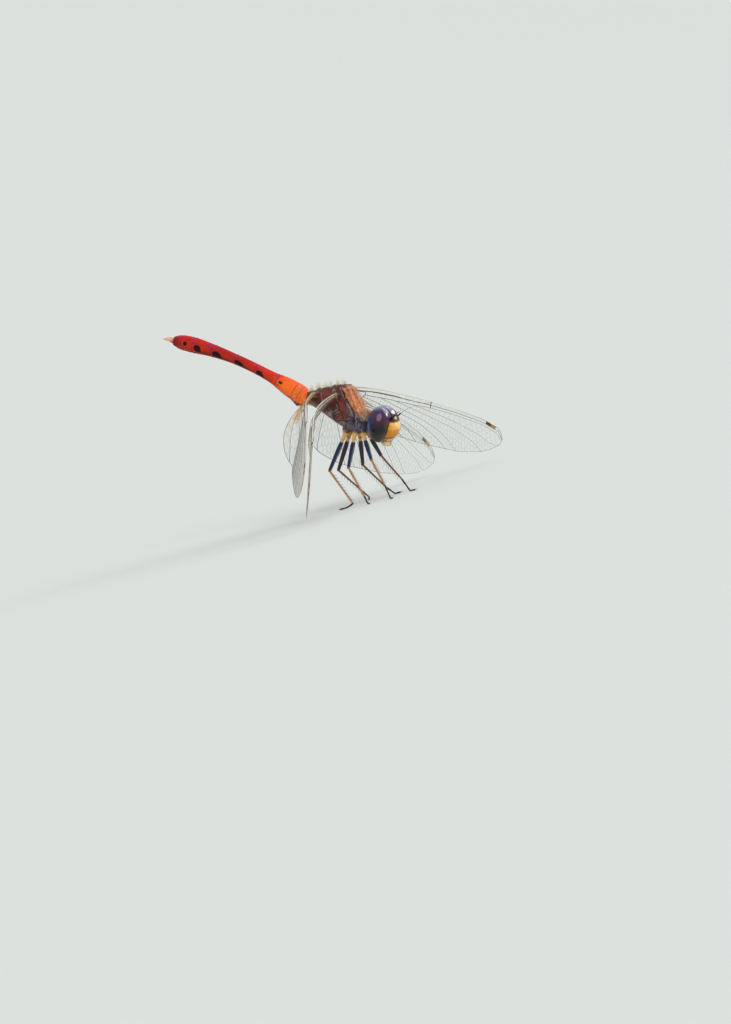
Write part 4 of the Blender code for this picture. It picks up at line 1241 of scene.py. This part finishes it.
def add_leg(name, shell):
    """One leg, from its hip to its toe; gives back its last joint and its toe."""
    side = 1 if name.endswith("left") else -1
    hip, knee, ankle, toe = (np.array(place) for place in LEGS[name])
    landing = on_floor(*(ankle[:2] + toe) / 2, LANDING_HEIGHT)
    ankle, toe = on_floor(*ankle), on_floor(*toe, TOE_HEIGHT)
    turning = ankle + (landing - ankle) * 0.5  # the foot's joint over the floor
    thigh, down, shin = knee - hip, unit(knee - hip), unit(ankle - knee)
    outer = square_to(down, (0.35, side, 0.25))
    shin_outer = square_to(shin, outer)
    lines = [square_to(down, way) for way in ((1.0, side * 0.35, 0.2), (-1.0, side * 0.5, 0.2))]
    rods = Rods()

    def run(start, end, stops, sides, colour, *radii):
        t = np.linspace(0, 1, stops)
        thick = np.interp(t, np.linspace(0, 1, len(radii)), radii)
        rods.add(start + (end - start) * t[:, None], thick, colour, sides)

    colour = striped("E6B870", "CC9650", "8A5A34", outer, "7A5038", 0.45)
    run(hip - down * 0.45, hip + thigh * 0.1, 14, 18, colour, 0.3, 0.37, 0.36, 0.3, 0.2)
    colour = striped("E8B46A", "C89452", "8A5A30", outer)
    run(hip + thigh * 0.1 - down * 0.08, hip + thigh * 0.18, 10, 18, colour, 0.14, 0.25, 0.27, 0.2)
    colour = striped("12204A", "3A2A30", "8E8A9C", outer, "E6B468", 0.1, lines)
    thighs = (0.17, 0.26, 0.285, 0.275, 0.255, 0.235, 0.22, 0.19)
    run(hip + thigh * 0.165, knee - down * 0.02, 34, 30, colour, *thighs)
    run(knee - down * 0.2, knee + down * 0.16, 9, 14, "A0603C", 0.1, 0.19, 0.21, 0.18, 0.08)
    colour = striped("A87848", "86604E", "1C1416", shin_outer)
    shins = (0.12, 0.14, 0.12, 0.112, 0.108, 0.112, 0.12, 0.09)
    run(knee - shin * 0.05, ankle + shin * 0.04, 30, 16, colour, *shins)
    bones = (ankle - shin * 0.05, turning, 0.115), (turning, landing, 0.1), (landing, toe, 0.095)
    for start, end, thick in bones:
        run(start, end, 14, 14, FOOT, 0.05, thick, thick * 0.92, thick, thick * 1.08, 0.05)
    t = np.linspace(-1, 1, 9)
    ball = 0.1 * np.sqrt(np.clip(1 - t * t, 0, 1)) + 0.004
    for place in (turning, landing):  # the foot's joints
        rods.add(place + shin * (t * 0.1)[:, None], ball, FOOT, sides=12)
    inward, across = -unit(shin_outer), unit(np.cross(shin, shin_outer))
    t = np.linspace(0, 1, 5)
    for row, splay in enumerate((-1, 1)):  # the comb of long spines down each shin
        out = unit(inward * 0.75 + across * splay * 0.6 + shin * 0.75)
        for step in range(SHIN_SPINES):
            base = knee + (ankle - knee) * (0.12 + 0.09 * step + 0.03 * row)
            path = base + out * (0.1 + 0.5 * t)[:, None] + shin * (0.06 * t * t)[:, None]
            rods.add(path, 0.024 * (1 - t) + 0.005, SPINE, sides=5)
    out = down * 0.5 - unit(outer) * 0.9
    t = np.linspace(0, 1, 4)
    for step in range(THIGH_SPINES):  # short spines down the inside of the thigh
        base = hip + thigh * (0.3 + 0.048 * step)
        rods.add(base + out * (0.2 + 0.16 * t)[:, None], 0.022 * (1 - t) + 0.005, SPINE, sides=5)
    leg = rods.build(f"leg_{name}", shell)
    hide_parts(*(f"{name}_{part}" for part in ("femur", "tibia", "tarsus")))
    return landing, toe


def add_claws(name, landing, toe, shell):
    """The pair of claws at the end of a leg."""
    claws = Rods()
    forward = unit(toe - landing)
    up = from_row((0, 0, MM)) - from_row((0, 0, 0))
    wide = np.cross(forward, up)
    t = np.linspace(0, 1, 9)
    for sign in (-1, 1):
        path = toe - forward * 0.05 + forward * (0.26 * t)[:, None] + wide * (sign * 0.12 * t)[:, None]
        path = path + up * (0.05 * np.sin(t * 2.6) - 0.07 * t**2)[:, None]
        claws.add(path, 0.036 * (1 - t) + 0.006, "241410", sides=8)
    piece = claws.build(f"claws_{name}", shell)


def add_legs():
    shell = shell_material("leg_shell", 0.34, speckle=0.15, bump=3e-6, coat=0.1)
    claw_shell = shell_material("claw_shell", 0.3, speckle=0.1, coat=0.4)
    for name in LEGS:
        landing, toe = add_leg(name, shell)
        add_claws(name, landing, toe, claw_shell)


# ---------------------------------------------------------------- hair

HAIR_STOPS, HAIR_SIDES = 5, 3
TUFTS = np.array((-4.35, -3.45, -2.55, -1.75, -0.8, 0.05))  # where the back's tufts stand


def add_hair(name, made, skin, density, lie, length, thick, tints, count, seed, warm=None):
    """Fine tapering hairs, in mesh, rooted on a skin's points, each with its own patch of the UV map."""
    points, normals = skin
    own = np.random.default_rng(seed)
    chance = np.clip(density, 0, None)
    roots = own.choice(len(points), count, p=chance / chance.sum())
    base = points[roots] + own.normal(0, 0.03, (count, 3))
    base -= normals[roots] * 0.04
    lies = np.broadcast_to(lie, points.shape)[roots]
    direction = unit(normals[roots] * 0.8 + lies + own.normal(0, 0.22, (count, 3)))
    long = length[roots] * own.uniform(0.55, 1.15, count)
    bend = own.normal(0, 0.16, (count, 3)) - np.array((0, 0, 0.12))
    t = np.linspace(0, 1, HAIR_STOPS)
    path = base[:, None] + direction[:, None] * (t * long[:, None])[..., None]
    path += bend[:, None] * (t**2 * long[:, None])[..., None]
    up = np.where(np.abs(direction[:, 2:]) < 0.9, (0.0, 0.0, 1.0), (1.0, 0.0, 0.0))
    ring = rings(direction, up, HAIR_SIDES)
    radius = thick * own.uniform(0.8, 1.2, count)[:, None] * (1 - 0.85 * t)
    cloud = path[:, :, None] + ring[:, None] * radius[:, :, None, None]
    each = HAIR_STOPS * HAIR_SIDES
    single = grid_faces(HAIR_STOPS, HAIR_SIDES, closed=True)
    faces = (single + (np.arange(count) * each)[:, None, None]).reshape(-1, 4)
    tint = mix(*tints, own.uniform(0, 1, count))
    if warm is not None:
        tint = mix(tint, "C8804E", warm[roots])
    piece = make_object(name, cloud.reshape(-1, 3), faces, made, np.repeat(tint, each, axis=0), closed=False)
    # the unwrap turns round the skin's long axis; it is stretched to fill the map where the hair grows
    axis = (points[:, 2].min() + points[:, 2].max()) / 2
    places = np.stack([np.arctan2(base[:, 1], base[:, 2] - axis), base[:, 0]], axis=1)
    places = (places - places.min(axis=0)) / np.ptp(places, axis=0)
    corner, step = np.tile((0.0, 0.5, 1.0), HAIR_STOPS), np.repeat(t, HAIR_SIDES)
    patch = 0.01 + 0.975 * places[:, None] + 0.003 * np.stack([corner, step], axis=1)
    layer = piece.data.uv_layers.new(name="OFBake")
    vertex = numbers(piece.data.loops, "vertex_index")
    layer.data.foreach_set("uv", np.clip(patch.reshape(-1, 2)[vertex], 0, 1).astype(np.float32).ravel())
    return piece


def add_coat(thorax, face, abdomen):
    """Tufts on the back, and finer hair on the collar, flanks, hips, face and front of the abdomen."""
    made, tree, shader = new_material("hair_strand", 0.5)
    painted(tree, shader, 0.1)
    points, normals = thorax
    x, y, z = points.T
    side = np.abs(y)
    back = ramp(normals[:, 2], 0.2, 0.7) * (1 - ramp(x, 0.3, 0.8)) * ramp(z, -1.3, -0.6)
    back *= 1 - ramp(side, 0.5, 0.9)
    nearest = TUFTS[np.abs(x[:, None] - TUFTS).argmin(axis=1)]
    back *= 0.015 + bell(x, nearest, 0.13) * bell(y, 0, 0.34)
    front = ramp(normals[:, 0], 0.2, 0.6) * ramp(z, -3.2, -2.4) * ramp(x, 0.7, 1.1)
    collar = ramp(x, 2.75, 2.95) * (1 - ramp(x, 3.7, 3.9)) * ramp(z, -3.4, -2.9)
    tail_end = (1 - ramp(x, -4.4, -3.6)) * (1 - ramp(side, 1.0, 1.5))
    lie = np.stack([-0.12 - 1.3 * (x - nearest), -0.8 * y, np.full_like(x, 1.3)], axis=1)
    lie[x > 0.7] = (0.45, 0, 0.45)
    lie[x > 2.7] = (0.1, 0, 0.5)
    length = np.where(x > 0.7, 0.5, 0.9) + 0.25 * ((x > 2.7) & (x < 3.9))
    pale = add_hair(
        "hair_back", made, thorax, back * 1.5 + front * 0.2 + collar * 1.3 + tail_end * back * 0.8,
        lie=lie, length=length, thick=0.016, tints=("FFFEF8", "FFF2D2"), count=1800, seed=11,
        warm=front * 0.8 + collar * 0.45,
    )
    low = ramp(-normals[:, 2], -0.2, 0.5) * (1 - ramp(x, 2.4, 2.7))
    flank = ramp(side, 0.8, 1.2) * (1 - ramp(x, 2.4, 2.7))
    hips = sum(bell(np.sqrt((x - a) ** 2 + (side - b) ** 2 + (z - c) ** 2), 0, 0.5) for a, b, c in HIPS)
    fine = add_hair(
        "hair_flank", made, thorax, flank * 0.3 + low * 0.5 + hips * 0.8,
        lie=(-0.5, 0, -0.5), length=np.where(z < -3.4, 0.36, 0.22), thick=0.008,
        tints=("E4D6BC", "B89A72"), count=700, seed=12,
    )
    points, normals = face
    x, y, z = points.T
    brow = ramp(x, 6.0, 6.4) * ramp(normals[:, 0], 0.0, 0.4)
    beard = ramp(-z, 5.0, 5.2) * ramp(x, 5.2, 5.6)
    nape = (1 - ramp(x, 4.9, 5.2)) * ramp(normals[:, 2], -0.2, 0.3)
    short = add_hair(
        "hair_face", made, face, brow * 0.6 + beard * 0.7 + nape * 0.9,
        lie=(0.3, 0, -0.1), length=np.where(x < 5.2, 0.4, 0.2), thick=0.009,
        tints=("D8B46A", "5A3A22"), count=1400, seed=13,
    )
    points, normals = abdomen
    x = points[:, 0]
    line, _ = abdomen_line(np.linspace(1.0, SHELL_FRONT, 200))
    middle = np.stack([x, 0 * x, np.interp(x, line[:, 0], line[:, 2])], axis=1)
    normals = normals * np.sign(np.sum(normals * (points - middle), axis=1))[:, None]
    fuzz = add_hair(
        "hair_abdomen", made, (points, normals), 1 - ramp(-x, 5.6, 8.8),
        lie=(-0.7, 0, 0.3), length=0.3 + 0.22 * ramp(x, -6.4, -5.3), thick=0.007,
        tints=("FFF6E4", "F4D8B4"), count=620, seed=14,
    )


# ---------------------------------------------------------------- camera, floor and light

CAMERA_AZIMUTH = math.radians(29.7)  # round from the animal's right side towards its face
CAMERA_ELEVATION = math.radians(11.9)  # above the plane of its back
LENS = 200.0
SENSOR = 36.0
PICTURE_HEIGHT = 120.83  # millimetres of the scene from the frame's top to its bottom
AIM_RIGHT = 2.54  # where the frame's middle lies from the wings' roots, in millimetres
AIM_DOWN = 14.34
FLOOR_AROUND = 96
FLOOR_FLAT = 0.85  # metres from the middle to where the floor starts to rise, to 0.4 m at 2.1 m further out
FLOOR_REACH = 2.1
FLOOR_RISE = 0.4
FLOOR_GAP = 2e-5  # metres that it lies under the feet


def add_camera():
    a, e = CAMERA_AZIMUTH, CAMERA_ELEVATION
    turn = Matrix.Rotation(PITCH, 3, "Y")
    back = turn @ Vector((math.sin(a) * math.cos(e), -math.cos(a) * math.cos(e), math.sin(e)))
    right = turn @ Vector((math.cos(a), math.sin(a), 0.0))
    up = back.cross(right)
    aim = BODY.translation + (right * AIM_RIGHT - up * AIM_DOWN) * MM
    distance = LENS / SENSOR * PICTURE_HEIGHT * MM
    data = bpy.data.cameras.new("camera")
    data.lens = LENS
    data.sensor_width = SENSOR
    data.clip_start = 0.01
    data.clip_end = 20.0
    camera = bpy.data.objects.new("camera", data)
    turned = Matrix((right, up, back)).transposed().to_4x4()
    camera.matrix_world = Matrix.Translation(aim + back * distance) @ turned
    bpy.context.scene.collection.objects.link(camera)
    bpy.context.scene.camera = camera


def add_floor():
    """A pale floor that sweeps up far behind, on every side, so that no edge shows in any view."""
    made, _, shader = new_material("floor_pale", 0.9, Specular_IOR_Level=0.1)
    shader.inputs["Base Color"].default_value = (0.62, 0.64, 0.62, 1)
    radii = [0.03 * 1.25**step for step in range(16)] + [1.0 + 0.1 * step for step in range(22)]
    heights = [FLOOR_RISE * max(0.0, (radius - FLOOR_FLAT) / FLOOR_REACH) ** 2 for radius in radii]
    turns = np.arange(FLOOR_AROUND) / FLOOR_AROUND * 2 * math.pi
    points = [(r * math.cos(turn), r * math.sin(turn), h) for r, h in zip(radii, heights) for turn in turns]
    faces = grid_faces(len(radii), FLOOR_AROUND, closed=True).tolist()
    faces.append(list(range(FLOOR_AROUND - 1, -1, -1)))
    mesh = bpy.data.meshes.new("floor")
    mesh.from_pydata(points, [], faces)
    mesh.shade_smooth()
    mesh.materials.append(made)
    floor = bpy.data.objects.new("floor", mesh)
    outward(floor)
    if mesh.polygons[-1].normal.z < 0:
        mesh.flip_normals()
    floor.location.z = -FLOOR_GAP
    bpy.context.scene.collection.objects.link(floor)


def add_sun(name, direction, power, spread, colour):
    data = bpy.data.lights.new(name, "SUN")
    data.energy = power
    data.angle = math.radians(spread)
    data.color = colour
    sun = bpy.data.objects.new(name, data)
    sun.rotation_euler = Vector(direction).to_track_quat("Z", "Y").to_euler()
    bpy.context.scene.collection.objects.link(sun)


def add_lights():
    world = bpy.data.worlds.new("soft sky")
    world.use_nodes = True
    sky = world.node_tree.nodes["Background"]
    sky.inputs["Color"].default_value = (0.93, 0.97, 1.0, 1)
    sky.inputs["Strength"].default_value = 0.62
    bpy.context.scene.world = world
    add_sun("key", (0.75, -0.55, 1.2), 1.35, 45, (1.0, 0.97, 0.93))
    add_sun("rim", (0.45, 0.95, 0.62), 1.2, 40, (1.0, 0.98, 0.94))
    add_sun("glint", (0.54, 0.86, 0.26), 0.62, 15, (1.0, 0.99, 0.97))
    bpy.context.scene.view_settings.view_transform = "Standard"


add_floor()
add_lights()
add_camera()
abdomen_skin = add_abdomen()
add_wings()
face_skin = add_face()
add_eyes()
add_feelers()
thorax_skin = add_thorax()
add_legs()
add_coat(thorax_skin, face_skin, abdomen_skin)
